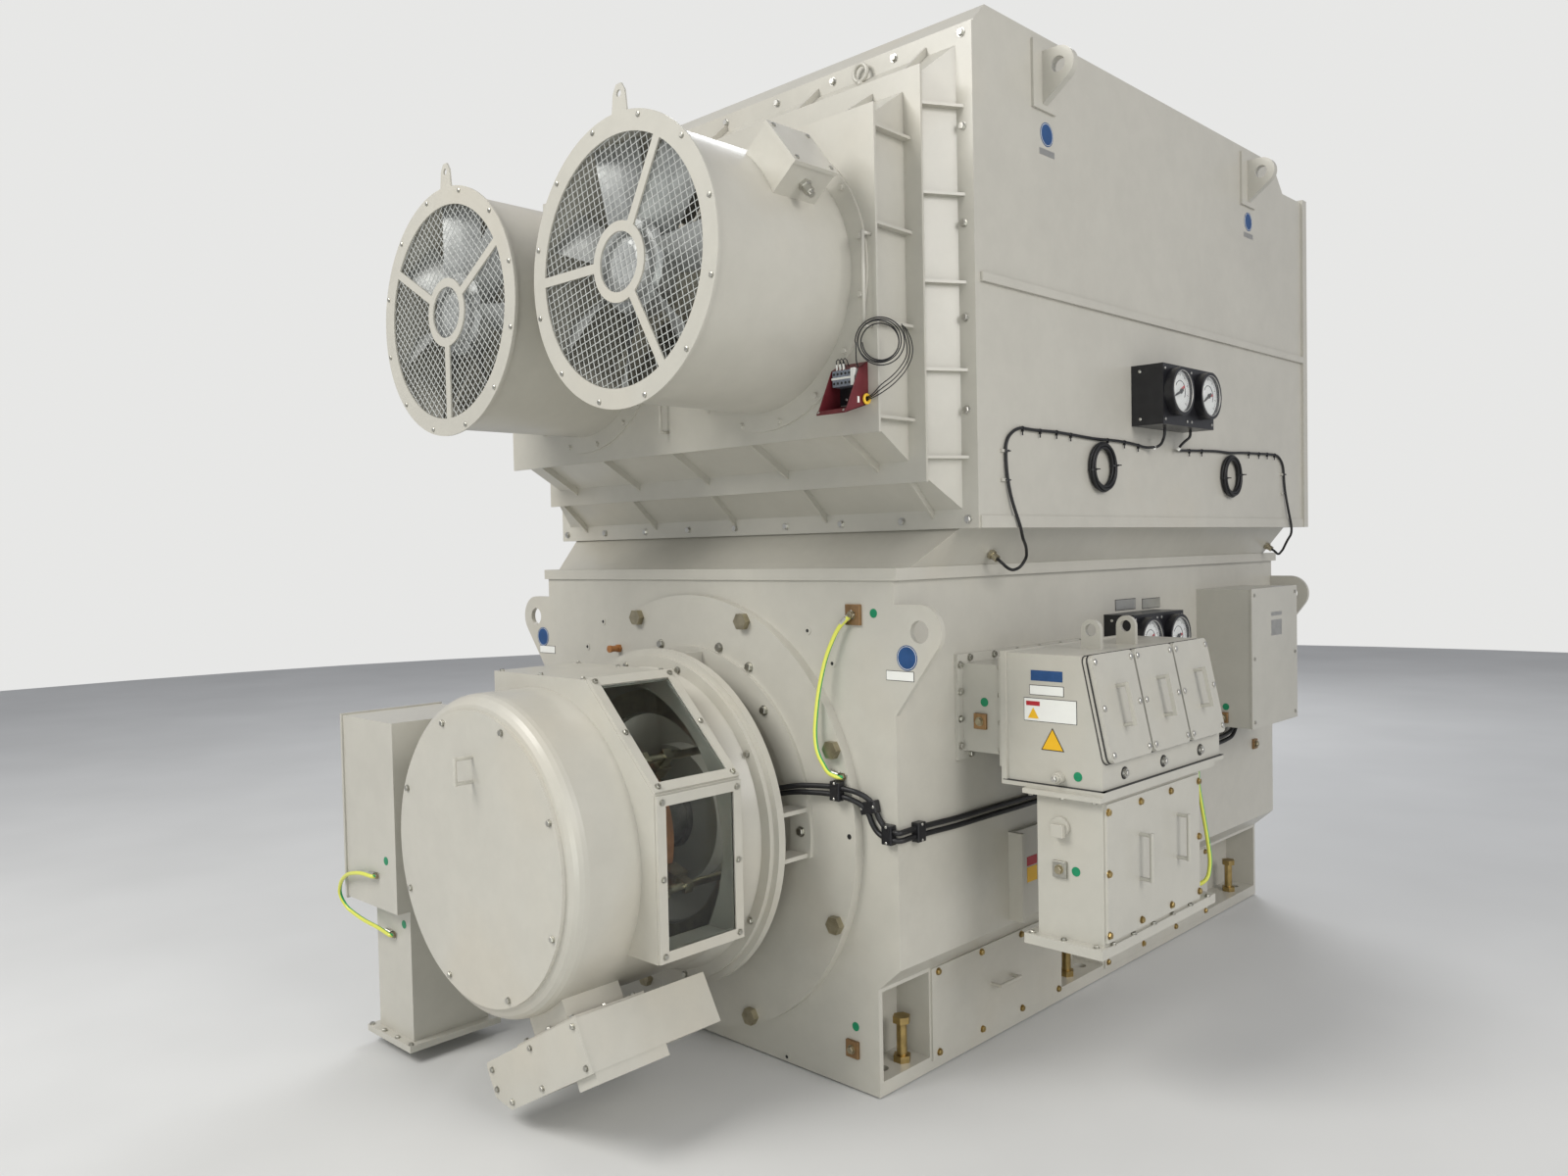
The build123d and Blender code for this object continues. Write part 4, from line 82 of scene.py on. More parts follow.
def noise(material, scale, detail=4.0, roughness=0.55, stretch=(1, 1, 1)):
    """A noise texture in object coordinates, with its own scale for each axis."""
    nodes, links = nodes_of(material)
    place = nodes.new("ShaderNodeTexCoord")
    mapping = nodes.new("ShaderNodeMapping")
    mapping.inputs["Scale"].default_value = stretch
    texture = nodes.new("ShaderNodeTexNoise")
    texture.inputs["Scale"].default_value = scale
    texture.inputs["Detail"].default_value = detail
    texture.inputs["Roughness"].default_value = roughness
    links.new(place.outputs["Object"], mapping.inputs["Vector"])
    links.new(mapping.outputs["Vector"], texture.inputs["Vector"])
    return texture.outputs["Fac"]


def ramp(material, value, stops):
    """A colour ramp over a value, with (position, colour) stops."""
    nodes, links = nodes_of(material)
    node = nodes.new("ShaderNodeValToRGB")
    elements = node.color_ramp.elements
    while len(elements) < len(stops):
        elements.new(0.5)
    for element, (position, colour) in zip(elements, stops):
        element.position = position
        element.color = (*colour, 1.0)
    links.new(value, node.inputs["Fac"])
    return node.outputs["Color"]


def feed(material, socket, value):
    """Set a socket to a number or a colour, or link another node's output to it."""
    if hasattr(value, "is_linked"):
        material.node_tree.links.new(value, socket)
    elif isinstance(value, tuple):
        socket.default_value = (*value, 1.0)
    else:
        socket.default_value = value


def multiply(material, factor, first, second):
    """One colour darkened by another, by a share."""
    node = material.node_tree.nodes.new("ShaderNodeMix")
    node.data_type = "RGBA"
    node.blend_type = "MULTIPLY"
    colours = [socket for socket in node.inputs if socket.type == "RGBA"]
    feed(material, node.inputs["Factor"], factor)
    feed(material, colours[0], first)
    feed(material, colours[1], second)
    return next(socket for socket in node.outputs if socket.type == "RGBA")


def remap(material, value, low, high):
    nodes, links = nodes_of(material)
    node = nodes.new("ShaderNodeMapRange")
    node.inputs["To Min"].default_value = low
    node.inputs["To Max"].default_value = high
    links.new(value, node.inputs["Value"])
    return node.outputs["Result"]


def bump(material, height, strength, distance):
    nodes, links = nodes_of(material)
    node = nodes.new("ShaderNodeBump")
    node.inputs["Strength"].default_value = strength
    node.inputs["Distance"].default_value = distance
    links.new(height, node.inputs["Height"])
    links.new(node.outputs["Normal"], principled(material).inputs["Normal"])


def drive(material, **sockets):
    """Feed the main shader's sockets, each by its name."""
    for name, value in sockets.items():
        feed(material, principled(material).inputs[name.replace("_", " ")], value)


def bands(material, direction, scale, distortion):
    """A banded wave in object coordinates."""
    nodes, links = nodes_of(material)
    place = nodes.new("ShaderNodeTexCoord")
    wave = nodes.new("ShaderNodeTexWave")
    wave.bands_direction = direction
    wave.inputs["Scale"].default_value = scale
    wave.inputs["Distortion"].default_value = distortion
    links.new(place.outputs["Object"], wave.inputs["Vector"])
    return wave.outputs["Fac"]


def paint(name, colour, gloss=0.36, grime=0.06):
    """Sprayed enamel: slight shade changes, faint dust and a fine orange peel."""
    material = new_material(name)
    darker = tuple(c * (1 - grime) for c in colour)
    warmer = (colour[0] * 1.02, colour[1] * 0.985, colour[2] * 0.94)
    cloud = noise(material, 1.6, 3.0)
    shade = ramp(material, cloud, [(0.32, darker), (0.55, colour), (0.78, warmer)])
    specks = noise(material, 14.0, 6.0, 0.65)
    dust = ramp(material, specks, [(0.40, (0.90, 0.90, 0.90)), (0.62, (1.0, 1.0, 1.0))])
    drive(material, Base_Color=multiply(material, 0.35, shade, dust))
    drive(material, Roughness=remap(material, noise(material, 9.0, 5.0), gloss - 0.06, gloss + 0.10))
    drive(material, Coat_Weight=0.25, Coat_Roughness=0.18)
    bump(material, noise(material, 420.0, 2.0), 0.10, 0.0006)
    return material


def metal(name, colour, rough=0.32, worn=0.15, stretch=(1, 1, 1), metallic=1.0):
    """Bare or plated metal with tool marks and patchy tarnish."""
    material = new_material(name)
    dull = tuple(c * (1 - worn) for c in colour)
    shade = ramp(material, noise(material, 26.0, 6.0), [(0.36, dull), (0.62, colour)])
    drive(material, Base_Color=shade, Metallic=metallic)
    streaks = noise(material, 60.0, 5.0, 0.6, stretch)
    drive(material, Roughness=remap(material, streaks, rough - 0.08, rough + 0.14))
    bump(material, noise(material, 300.0, 3.0, 0.6, stretch), 0.16, 0.0004)
    return material


def plastic(name, colour, rough=0.4, grain=600.0, spread=0.18):
    """Moulded plastic or rubber with a fine grain."""
    material = new_material(name)
    lighter = tuple(min(1.0, c * (1 + spread) + 0.004) for c in colour)
    shade = ramp(material, noise(material, 30.0, 5.0), [(0.38, colour), (0.68, lighter)])
    drive(material, Base_Color=shade)
    drive(material, Roughness=remap(material, noise(material, 45.0, 4.0), rough - 0.06, rough + 0.10))
    bump(material, noise(material, grain, 2.0), 0.20, 0.0004)
    return material


def laminated(name, colour):
    """Stacked sheet metal: fine lines across the shaft direction."""
    material = new_material(name)
    sheets = bands(material, "Y", 160.0, 0.6)
    lines = ramp(material, sheets, [(0.30, tuple(c * 0.7 for c in colour)), (0.55, colour)])
    drive(material, Base_Color=lines, Metallic=0.8, Roughness=0.5)
    bump(material, sheets, 0.35, 0.0008)
    return material


def banded_winding(name):
    """Varnished coil ends: taped strands, brown over copper."""
    material = new_material(name)
    strands = bands(material, "DIAGONAL", 38.0, 2.0)
    shade = ramp(material, strands, [(0.2, (0.16, 0.05, 0.02)), (0.55, (0.42, 0.16, 0.07)),
                                     (0.85, (0.58, 0.27, 0.12))])
    drive(material, Base_Color=shade, Metallic=0.15, Roughness=0.34, Coat_Weight=0.5, Coat_Roughness=0.2)
    bump(material, strands, 0.5, 0.002)
    return material


def striped_lead(name, first, second):
    """A sheath with one colour along one side and another along the other."""
    material = new_material(name)
    nodes, links = nodes_of(material)
    surface = nodes.new("ShaderNodeNewGeometry")
    facing = nodes.new("ShaderNodeVectorMath")
    facing.operation = "DOT_PRODUCT"
    facing.inputs[1].default_value = (0.70, 0.55, 0.35)
    links.new(surface.outputs["Normal"], facing.inputs[0])
    share = remap(material, facing.outputs["Value"], -1.0, 2.0)
    shade = ramp(material, share, [(0.27, first), (0.31, second)])
    drive(material, Base_Color=shade, Coat_Weight=0.3)
    drive(material, Roughness=remap(material, noise(material, 50.0), 0.3, 0.45))
    bump(material, noise(material, 500.0), 0.12, 0.0003)
    return material


def clear_pane(name, colour, rough=0.03):
    """A clear sheet that lets the inside show, with slight smears."""
    material = new_material(name)
    drive(material, Base_Color=colour, Transmission_Weight=1.0, IOR=1.28)
    drive(material, Roughness=remap(material, noise(material, 12.0, 6.0), rough, rough + 0.03))
    return material


CREAM = (0.500, 0.482, 0.425)
paint_cream = paint("sprayed_cream", CREAM)
paint_box = paint("sprayed_cream_boxes", (0.485, 0.470, 0.415), gloss=0.32)
steel_dark = metal("oiled_steel", (0.33, 0.31, 0.28), 0.36, 0.25)
steel_plated = metal("plated_steel", (0.62, 0.61, 0.57), 0.30, 0.12)
bolt_gold = metal("yellow_plated_bolts", (0.46, 0.41, 0.29), 0.34, 0.30)
bolt_brass = metal("brass_plated_bolts", (0.47, 0.34, 0.14), 0.34, 0.35)
bolt_grey = metal("grey_plated_screws", (0.50, 0.49, 0.44), 0.32, 0.25)
bearing_steel = metal("ground_bearing_steel", (0.72, 0.72, 0.73), 0.16, 0.06)
aluminium = metal("rolled_tube_metal", (0.60, 0.62, 0.63), 0.40, 0.20)
blade_metal = metal("cast_fan_blades", (0.50, 0.51, 0.50), 0.42, 0.20, metallic=0.6)
copper = metal("turned_copper_rings", (0.88, 0.38, 0.17), 0.30, 0.20, (1, 40, 1), metallic=0.55)
brass = metal("nickel_brass_glands", (0.55, 0.50, 0.38), 0.30, 0.2)
black_plastic = plastic("black_enclosure", (0.008, 0.008, 0.010), 0.30)
black_rubber = plastic("black_sheath", (0.006, 0.006, 0.007), 0.46)
carbon = plastic("pressed_carbon", (0.02, 0.02, 0.021), 0.6)
resin = plastic("cast_resin", (0.24, 0.075, 0.035), 0.28)
# The tray's own oxide red, made darker still as painted shade for the shadowed inside of the tray
tray_red_and_shade = plastic("oxide_red_bracket_and_painted_shade", (0.115, 0.011, 0.016), 0.42)
terminal_grey = plastic("terminal_block_grey", (0.19, 0.21, 0.25), 0.5)
lead_yellow = plastic("yellow_gland", (0.75, 0.46, 0.03))
wire_white = plastic("coated_guard_wire", (0.56, 0.57, 0.55), spread=0.05)
plate_red = plastic("plate_red", (0.40, 0.012, 0.02), spread=0.03)
plate_yellow = plastic("plate_yellow", (0.78, 0.44, 0.01), spread=0.03)
sensor_brown = plastic("sensor_cap", (0.30, 0.12, 0.03))
dial_white = plastic("dial_white", (0.80, 0.80, 0.79), 0.5, spread=0.02)
dial_black = plastic("dial_black", (0.01, 0.01, 0.01), 0.5)
dial_red = plastic("dial_red", (0.52, 0.02, 0.03))
sticker_green = plastic("sticker_green", (0.0, 0.20, 0.085))
sticker_blue = plastic("sticker_blue", (0.009, 0.055, 0.17))
plate_white = plastic("plate_white", (0.78, 0.78, 0.74), spread=0.02)
pad_brown = metal("machined_earth_pad", (0.40, 0.25, 0.13), 0.40, 0.30)
core_sheets = laminated("stacked_core_sheets", (0.34, 0.35, 0.37))
winding = banded_winding("varnished_winding")
earth_sheath = striped_lead("green_yellow_sheath", (0.66, 0.68, 0.10), (0.02, 0.34, 0.10))
window_pane = clear_pane("window_pane", (0.80, 0.85, 0.84), 0.0)
dial_glass = clear_pane("dial_glass", (0.96, 0.97, 0.97))

SLOT_MATERIALS = {
    "frame_paint": paint_cream, "dark_steel": steel_dark, "zinc_steel": steel_plated,
    "core_steel": core_sheets, "copper": winding, "bearing_steel": bearing_steel, "carbon": carbon,
    "pane": window_pane, "insulator": resin, "black_box": black_plastic, "pointer": dial_black,
    "fan_blade": blade_metal, "tube_metal": aluminium, "black_lead": black_rubber,
    "earth_lead": earth_sheath,
}
NODE_MATERIALS = {
    "slip_rings": copper, "jacking_bolts": bolt_brass, "shield_bolts": bolt_gold,
    "terminal_adapter": paint_box, "main_terminal_box": paint_box, "sloping_covers": paint_box,
    "main_cable_box": paint_box, "cable_box_cover": paint_box, "aux_terminal_box": paint_box,
    "flat_box_covers": paint_box, "gland_plates": paint_box, "brush_gear": brass,
}


def dress_nodes():
    """Give each CAD node its material."""
    for part in frame["record"]["subparts"]:
        node = part["node"]
        material = NODE_MATERIALS.get(node, SLOT_MATERIALS[part["material_slot"]])
        mesh = frame["nodes"][node].data
        mesh.materials.clear()
        mesh.materials.append(material)


def basis(normal, roll=None):
    """Two directions square to a normal. The first is as near level as can be."""
    normal = Vector(normal).normalized()
    guide = Vector(roll) if roll is not None else UP
    if abs(normal.dot(guide.normalized())) > 0.95:
        guide = BACK
    across = guide.cross(normal).normalized()
    return across, normal.cross(across).normalized(), normal


def add_prism(bm, ring, normal, height, top_scale=1.0):
    """A prism from a ring of points, with a top that may be smaller."""
    centre = sum(ring, Vector()) / len(ring)
    top = [centre + (p - centre) * top_scale + normal * height for p in ring]
    low = [bm.verts.new(p) for p in ring]
    high = [bm.verts.new(p) for p in top]
    count = len(ring)
    bm.faces.new(list(reversed(low)))
    bm.faces.new(high)
    for index in range(count):
        after = (index + 1) % count
        bm.faces.new((low[index], low[after], high[after], high[index]))


def ring_points(place, normal, radius, count, turn=0.0, roll=None):
    across, upward, _ = basis(normal, roll)
    points = []
    for index in range(count):
        angle = turn + 2 * pi * index / count
        points.append(Vector(place) + across * (radius * cos(angle)) + upward * (radius * sin(angle)))
    return points


def add_disc(bm, place, normal, radius, height, count=20, top_scale=1.0):
    add_prism(bm, ring_points(place, normal, radius, count), Vector(normal).normalized(), height, top_scale)


def add_box(bm, low, high):
    low, high = Vector(low), Vector(high)
    corners = ((low.x, low.y), (high.x, low.y), (high.x, high.y), (low.x, high.y))
    add_prism(bm, [Vector((x, y, low.z)) for x, y in corners], UP, high.z - low.z)


def add_plate(bm, place, normal, width, height, thick, roll=None):
    """A flat plate on a face, centred on a place."""
    across, upward, normal = basis(normal, roll)
    place = Vector(place)
    ring = [place + across * (sx * width / 2) + upward * (sz * height / 2)
            for sx, sz in ((-1, -1), (1, -1), (1, 1), (-1, 1))]
    add_prism(bm, ring, normal, thick)


def add_bolt(bm, place, normal, size, turn=0.0):
    """A hexagon head with its washer; size is the thread diameter."""
    normal = Vector(normal).normalized()
    place = Vector(place)
    add_disc(bm, place, normal, size * 1.08, size * 0.16, 20)
    head = place + normal * size * 0.16
    ring = ring_points(head, normal, size * 0.90, 6, turn)
    add_prism(bm, ring, normal, size * 0.50)
    cap = ring_points(head + normal * size * 0.50, normal, size * 0.90, 6, turn)
    add_prism(bm, cap, normal, size * 0.14, 0.86)


def add_screw(bm, place, normal, size):
    """A domed screw head with a socket."""
    normal = Vector(normal).normalized()
    place = Vector(place)
    add_disc(bm, place, normal, size * 0.95, size * 0.35, 16)
    add_disc(bm, place + normal * size * 0.35, normal, size * 0.95, size * 0.2, 16, 0.6)


def add_tube(bm, points, radius, sides=10, closed=False):
    """A round tube along points, with a frame carried from one point to the next."""
    points = [Vector(p) for p in points]
    count = len(points)
    rings = []
    side = None
    for index, point in enumerate(points):
        if closed:
            ahead, behind = points[(index + 1) % count], points[index - 1]
        else:
            ahead, behind = points[min(index + 1, count - 1)], points[max(index - 1, 0)]
        along = (ahead - behind).normalized()
        if side is None:
            side = basis(along)[0]
        side = (side - along * side.dot(along)).normalized()
        other = along.cross(side)
        rings.append([bm.verts.new(point + side * (radius * cos(2 * pi * k / sides))
                                   + other * (radius * sin(2 * pi * k / sides))) for k in range(sides)])
    pairs = list(zip(rings, rings[1:]))
    if closed:
        pairs.append((rings[-1], rings[0]))
    for near, far in pairs:
        for k in range(sides):
            after = (k + 1) % sides
            bm.faces.new((near[k], near[after], far[after], far[k]))
    if not closed:
        bm.faces.new(list(reversed(rings[0])))
        bm.faces.new(rings[-1])


def mesh_object(name, bm, material):
    """An object in the scene from a bmesh, with its faces turned outward."""
    bmesh.ops.recalc_face_normals(bm, faces=bm.faces)
    mesh = bpy.data.meshes.new(name)
    bm.to_mesh(mesh)
    bm.free()
    mesh.materials.append(material)
    piece = bpy.data.objects.new(name, mesh)
    bpy.context.scene.collection.objects.link(piece)
    return piece


def make(name, bm, material, smooth=False, bevel=0.0):
    """Turn a bmesh into a piece in the given material, which rides on the frame."""
    piece = mesh_object(name, bm, material)
    if smooth:
        for polygon in piece.data.polygons:
            polygon.use_smooth = True
    if bevel:
        modifier = piece.modifiers.new("edges", "BEVEL")
        modifier.width = bevel
        modifier.segments = 2
        modifier.limit_method = "ANGLE"
    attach(piece, "frame")
    return piece


def make_all(rows):
    """Pieces from rows of a name, a bmesh and a material."""
    for name, bm, material in rows:
        make(name, bm, material)


def bolts(name, places, normal, size, material=bolt_grey, screw=False):
    """A group of like fasteners on one face direction, with heads turned by a fixed scatter."""
    bm = bmesh.new()
    for index, place in enumerate(places):
        if screw:
            add_screw(bm, place, normal, size)
        else:
            add_bolt(bm, place, normal, size, turn=0.37 * index)
    make(name, bm, material)


def on_circle(radius, angles, y, centre=(0.0, SHAFT_Z)):
    """Places on a circle about an axis along Y, by clockwise angles from the top."""
    x, z = centre
    return [(x + radius * sin(radians(a)), y, z + radius * cos(radians(a))) for a in angles]


def setup_stage():
    """Camera, floor, backdrop and soft studio light."""
    scene = bpy.context.scene
    scene.view_settings.view_transform = "Standard"
    data = bpy.data.cameras.new("camera")
    data.lens = CAMERA_LENS
    data.sensor_width = CAMERA_SENSOR
    data.clip_end = 60.0
    camera = bpy.data.objects.new("camera", data)
    forward, upward = Vector(CAMERA_FORWARD).normalized(), Vector(CAMERA_UP)
    side = forward.cross(upward).normalized()
    upward = side.cross(forward).normalized()
    turn = Matrix((side, upward, -forward)).transposed().to_4x4()
    camera.matrix_world = Matrix.Translation(CAMERA_PLACE) @ turn
    scene.collection.objects.link(camera)
    scene.camera = camera

    floor_material = new_material("pale_floor")
    cloud = noise(floor_material, 0.7, 3.0)
    shade = ramp(floor_material, cloud, [(0.3, (0.60, 0.60, 0.59)), (0.7, (0.66, 0.66, 0.65))])
    drive(floor_material, Base_Color=shade, Roughness=0.6)
    bm = bmesh.new()
    add_prism(bm, ring_points((0, 0, -0.004), UP, 14.0, 64), DOWN, 0.02)
    mesh_object("floor", bm, floor_material)

    world = bpy.data.worlds.new("studio")
    world.use_nodes = True
    nodes, links = world.node_tree.nodes, world.node_tree.links
    background = nodes["Background"]
    background.inputs["Color"].default_value = (0.93, 0.95, 1.0, 1.0)
    background.inputs["Strength"].default_value = 0.42
    seen = nodes.new("ShaderNodeBackground")
    seen.inputs["Color"].default_value = (0.80, 0.80, 0.79, 1.0)
    seen.inputs["Strength"].default_value = 1.0
    path = nodes.new("ShaderNodeLightPath")
    either = nodes.new("ShaderNodeMath")
    either.operation = "MAXIMUM"
    mix = nodes.new("ShaderNodeMixShader")
    links.new(path.outputs["Is Camera Ray"], either.inputs[0])
    links.new(path.outputs["Is Transmission Ray"], either.inputs[1])
    links.new(either.outputs[0], mix.inputs["Fac"])
    links.new(background.outputs[0], mix.inputs[1])
    links.new(seen.outputs[0], mix.inputs[2])
    links.new(mix.outputs[0], nodes["World Output"].inputs["Surface"])
    scene.world = world

    for name, place, aim, size, power, tint in (
            ("key", (-1.5, -6.5, 6.0), (0, -1.0, 1.2), 4.0, 380.0, (1.0, 0.985, 0.95)),
            ("side", (7.5, -1.5, 4.6), (0.5, 0, 1.3), 4.5, 270.0, (1.0, 0.98, 0.96)),
            ("rim", (-4.0, 6.0, 6.5), (0, 0, 1.5), 5.0, 300.0, (0.95, 0.97, 1.0)),
            ("fill", (3.5, -5.0, 0.7), (0, -1.0, 0.9), 3.0, 60.0, (0.96, 1.0, 0.94))):
        light = bpy.data.lights.new(name, "AREA")
        light.shape = "DISK"
        light.size = size
        light.energy = power
        light.color = tint
        lamp = bpy.data.objects.new(name, light)
        lamp.location = place
        direction = Vector(aim) - Vector(place)
        lamp.rotation_euler = direction.to_track_quat("-Z", "Y").to_euler()
        scene.collection.objects.link(lamp)


# Slip-ring housing and end shield

# The side window's and the sloping one's sizes, and the hood's corners, in X and Z, between which they lie
WINDOW_SIZES = ((0.290, 0.424), (0.290, 0.3813))
HOOD_CORNERS = ((0.490, 0.477), (0.490, 0.905), (0.218, 1.178))
HOOD_MIDDLE_Y = -1.706
FILTER_TURN = radians(29.5)


def spread(first, last, count):
    """Evenly spaced values, both ends included."""
    return [first + (last - first) * index / (count - 1) for index in range(count)]


def window_places(lower):
    """The middle of a window face and its normal, from the hood's corner under it."""
    (x0, z0), (x1, z1) = HOOD_CORNERS[lower], HOOD_CORNERS[lower + 1]
    slope = atan2(z1 - z0, x0 - x1)
    return Vector(((x0 + x1) / 2, HOOD_MIDDLE_Y, (z0 + z1) / 2)), Vector((sin(slope), 0, cos(slope)))


def dress_housing():
    front = -2.066
    bolts("end_cover_screws", on_circle(0.3755, [22.5 + 45 * k for k in range(8)], front), FRONT, 0.009)
    flange_angles = (15, 60, 120, 165, -15, -60, -120, -165)
    bolts("housing_flange_bolts", on_circle(0.469, flange_angles, -1.446), FRONT, 0.010)
    bolts("lantern_bolts", on_circle(0.473, (0, 45, 90, -45, -90), -1.303), FRONT, 0.014)
    bolts("shield_cap_bolts", on_circle(0.527, (15, 30, -15, -30), SHIELD_FACE), FRONT, 0.014)
    for lower, name in enumerate(("side", "sloping")):
        middle, normal = window_places(lower)
        across, upward, _ = basis(normal)
        width, height = WINDOW_SIZES[lower]
        places = []
        for side in (-1, 1):
            for level in (-0.46, 0.0, 0.46):
                places.append(middle + across * side * (width / 2 - 0.016) + upward * (level * height)
                              + normal * 0.010)
        bolts("window_screws_" + name, places, normal, 0.008)
    top = 1.178
    places = [(x, y, top) for x in (-0.195, 0.0, 0.195) for y in (-1.842, -1.572)]
    bolts("hood_top_screws", places, UP, 0.007)


def hang_direction(direction):
    """A direction of the filter box's own upright frame, turned to how the box hangs."""
    x, y, z = direction
    level, tilt = cos(FILTER_TURN), sin(FILTER_TURN)
    return Vector((x * level - z * tilt, y, x * tilt + z * level))


def hang(point):
    """A point of that frame, turned about the shaft's axis."""
    x, y, z = point
    return hang_direction((x, y, z - SHAFT_Z)) + UP * SHAFT_Z


def dress_filter():
    front = -2.036
    top, low = SHAFT_Z - 0.485, SHAFT_Z - 0.620
    x0, x1 = -0.298, 0.169
    flat = [(x0 + 0.022, top - 0.022), ((x0 + x1) / 2, top - 0.016), (x1 - 0.016, top - 0.016),
            (x1 - 0.016, low + 0.016), ((x0 + x1) / 2, low + 0.016), (x0 + 0.075, low + 0.016),
            (x0 + 0.018, low + 0.062)]
    bolts("filter_cover_screws", [hang((x, front, z)) for x, z in flat], FRONT, 0.008)
    bm = bmesh.new()
    corners = [(-0.150, -2.020, top), (0.150, -2.020, top), (0.150, -1.800, top), (-0.150, -1.800, top)]
    add_prism(bm, [hang(c) for c in corners], hang_direction((0, 0, 1)), 0.008)
    make("filter_neck_flange", bm, paint_cream, bevel=0.0015)
    places = [hang((x, y, top + 0.008)) for x, y in ((-0.118, -2.008), (-0.118, -1.815), (0.0, -2.010),
                                                     (0.118, -2.008), (0.118, -1.815), (0.118, -1.910))]
    bolts("filter_neck_bolts", places, hang_direction((0, 0, 1)), 0.008)


# Terminal boxes

BOX_Y = (-0.995, -0.300)
BOX_FRONT = BOX_Y[0]
BOX_LIP_Z = 0.905
SLOPE_TOP = (1.189, 1.219)
SLOPE_FOOT = (1.250, 0.938)


def slope_frame():
    """The middle, normal, shaft direction and upward direction of the main box's sloping face."""
    (xa, za), (xb, zb) = SLOPE_TOP, SLOPE_FOOT
    length = hypot(xb - xa, za - zb)
    middle = Vector(((xa + xb) / 2, sum(BOX_Y) / 2, (za + zb) / 2))
    normal = Vector(((za - zb) / length, 0, (xb - xa) / length))
    upward = Vector((-(xb - xa) / length, 0, (za - zb) / length))
    return middle, normal, BACK, upward


def rounded_ring(middle, across, upward, width, height, radius):
    """The outline of a rectangle with round corners, six points to a corner."""
    ring = []
    for quarter, (sx, sz) in enumerate(((1, 1), (-1, 1), (-1, -1), (1, -1))):
        for angle in spread(quarter * pi / 2, (quarter + 1) * pi / 2, 6):
            ring.append(middle + across * (sx * (width / 2 - radius) + radius * cos(angle))
                        + upward * (sz * (height / 2 - radius) + radius * sin(angle)))
    return ring


def cover_middles():
    y0, y1 = BOX_Y[0] + 0.009, BOX_Y[1] - 0.009
    width = (y1 - y0 - 0.020) / 3
    return [y0 + width / 2 + index * (width + 0.010) for index in range(3)], width


def dress_main_box():
    middle, normal, along, upward = slope_frame()
    places = []
    middles, width = cover_middles()
    for y in middles:
        for side in (-1, 1):
            for level in (-0.122, 0.0, 0.122):
                at = middle + along * (y - middle.y + side * (width / 2 - 0.014)) + upward * level
                places.append(at + normal * 0.026)
    bolts("sloping_cover_screws", places, normal, 0.0085, steel_plated, screw=True)
    # The black discs round the lip screws are painted shade of the recesses they sit in
    rings, heads = bmesh.new(), bmesh.new()
    for y in (-0.881, -0.660, -0.431):
        add_disc(rings, (1.250, y, BOX_LIP_Z), RIGHT, 0.0165, 0.002, 28)
        add_disc(heads, (1.252, y, BOX_LIP_Z), RIGHT, 0.0130, 0.006, 28, 0.9)
        add_bolt(heads, (1.256, y, BOX_LIP_Z), RIGHT, 0.008)
    make("lip_screw_recess_shade", rings, dial_black)
    make("lip_screws", heads, steel_plated)
    gasket = bmesh.new()
    for out, grow in ((0.0004, 0.005), (0.0112, 0.0022)):
        ring = rounded_ring(middle + normal * out, along, upward, 0.686 + grow, 0.282 + grow, 0.020)
        add_prism(gasket, ring, normal, 0.0016)
    make("cover_gasket", gasket, black_rubber)
    lip = bmesh.new()
    for inner_x, back in ((0.955, BOX_FRONT + 0.010), (1.2480, BOX_Y[1] + 0.008)):
        add_box(lip, (inner_x, BOX_FRONT - 0.0095, 0.8715), (1.2595, back, 0.8735))
    make("lip_gasket", lip, black_rubber)
    bm = bmesh.new()
    add_disc(bm, (1.126, BOX_FRONT, 0.895), FRONT, 0.015, 0.020, 24)
    add_disc(bm, (1.126, -1.015, 0.895), FRONT, 0.011, 0.010, 20)
    make("box_earth_boss", bm, paint_box, bevel=0.001)
    bolts("box_earth_bolt", [(1.126, -1.025, 0.895)], FRONT, 0.008, steel_plated)
    bm = bmesh.new()
    for y in spread(BOX_Y[0] + 0.03, BOX_Y[1] - 0.03, 5):
        add_bolt(bm, (0.966, y, 1.209), RIGHT, 0.009)
    make("box_flange_bolts", bm, bolt_grey)


def dress_cable_box():
    face = 1.259
    low, high = 0.485, 0.833
    y0, y1 = -0.985, -0.463
    places = [(face, y, z) for y in (y0, y1) for z in spread(low + 0.014, high - 0.014, 3)]
    places += [(face, y, z) for y in spread(y0, y1, 4)[1:3] for z in (low + 0.014, high - 0.014)]
    bolts("cable_cover_screws", places, RIGHT, 0.0095, bolt_brass)
    edge = [(1.255, y, 0.468) for y in spread(-0.96, -0.40, 6)]
    edge += [(x, -1.010, 0.468) for x in spread(1.045, 1.235, 3)]
    bolts("gland_flange_bolts", edge, UP, 0.008)
    top_edge = [(x, -1.010, 0.847) for x in spread(1.045, 1.235, 3)]
    bolts("cable_box_top_bolts", top_edge, DOWN, 0.008)
    bm = bmesh.new()
    add_disc(bm, (1.128, BOX_FRONT, 0.766), FRONT, 0.026, 0.010, 24)
    add_plate(bm, (1.128, -1.005, 0.757), FRONT, 0.034, 0.034, 0.016)
    make("cable_box_lug", bm, paint_box, bevel=0.001)


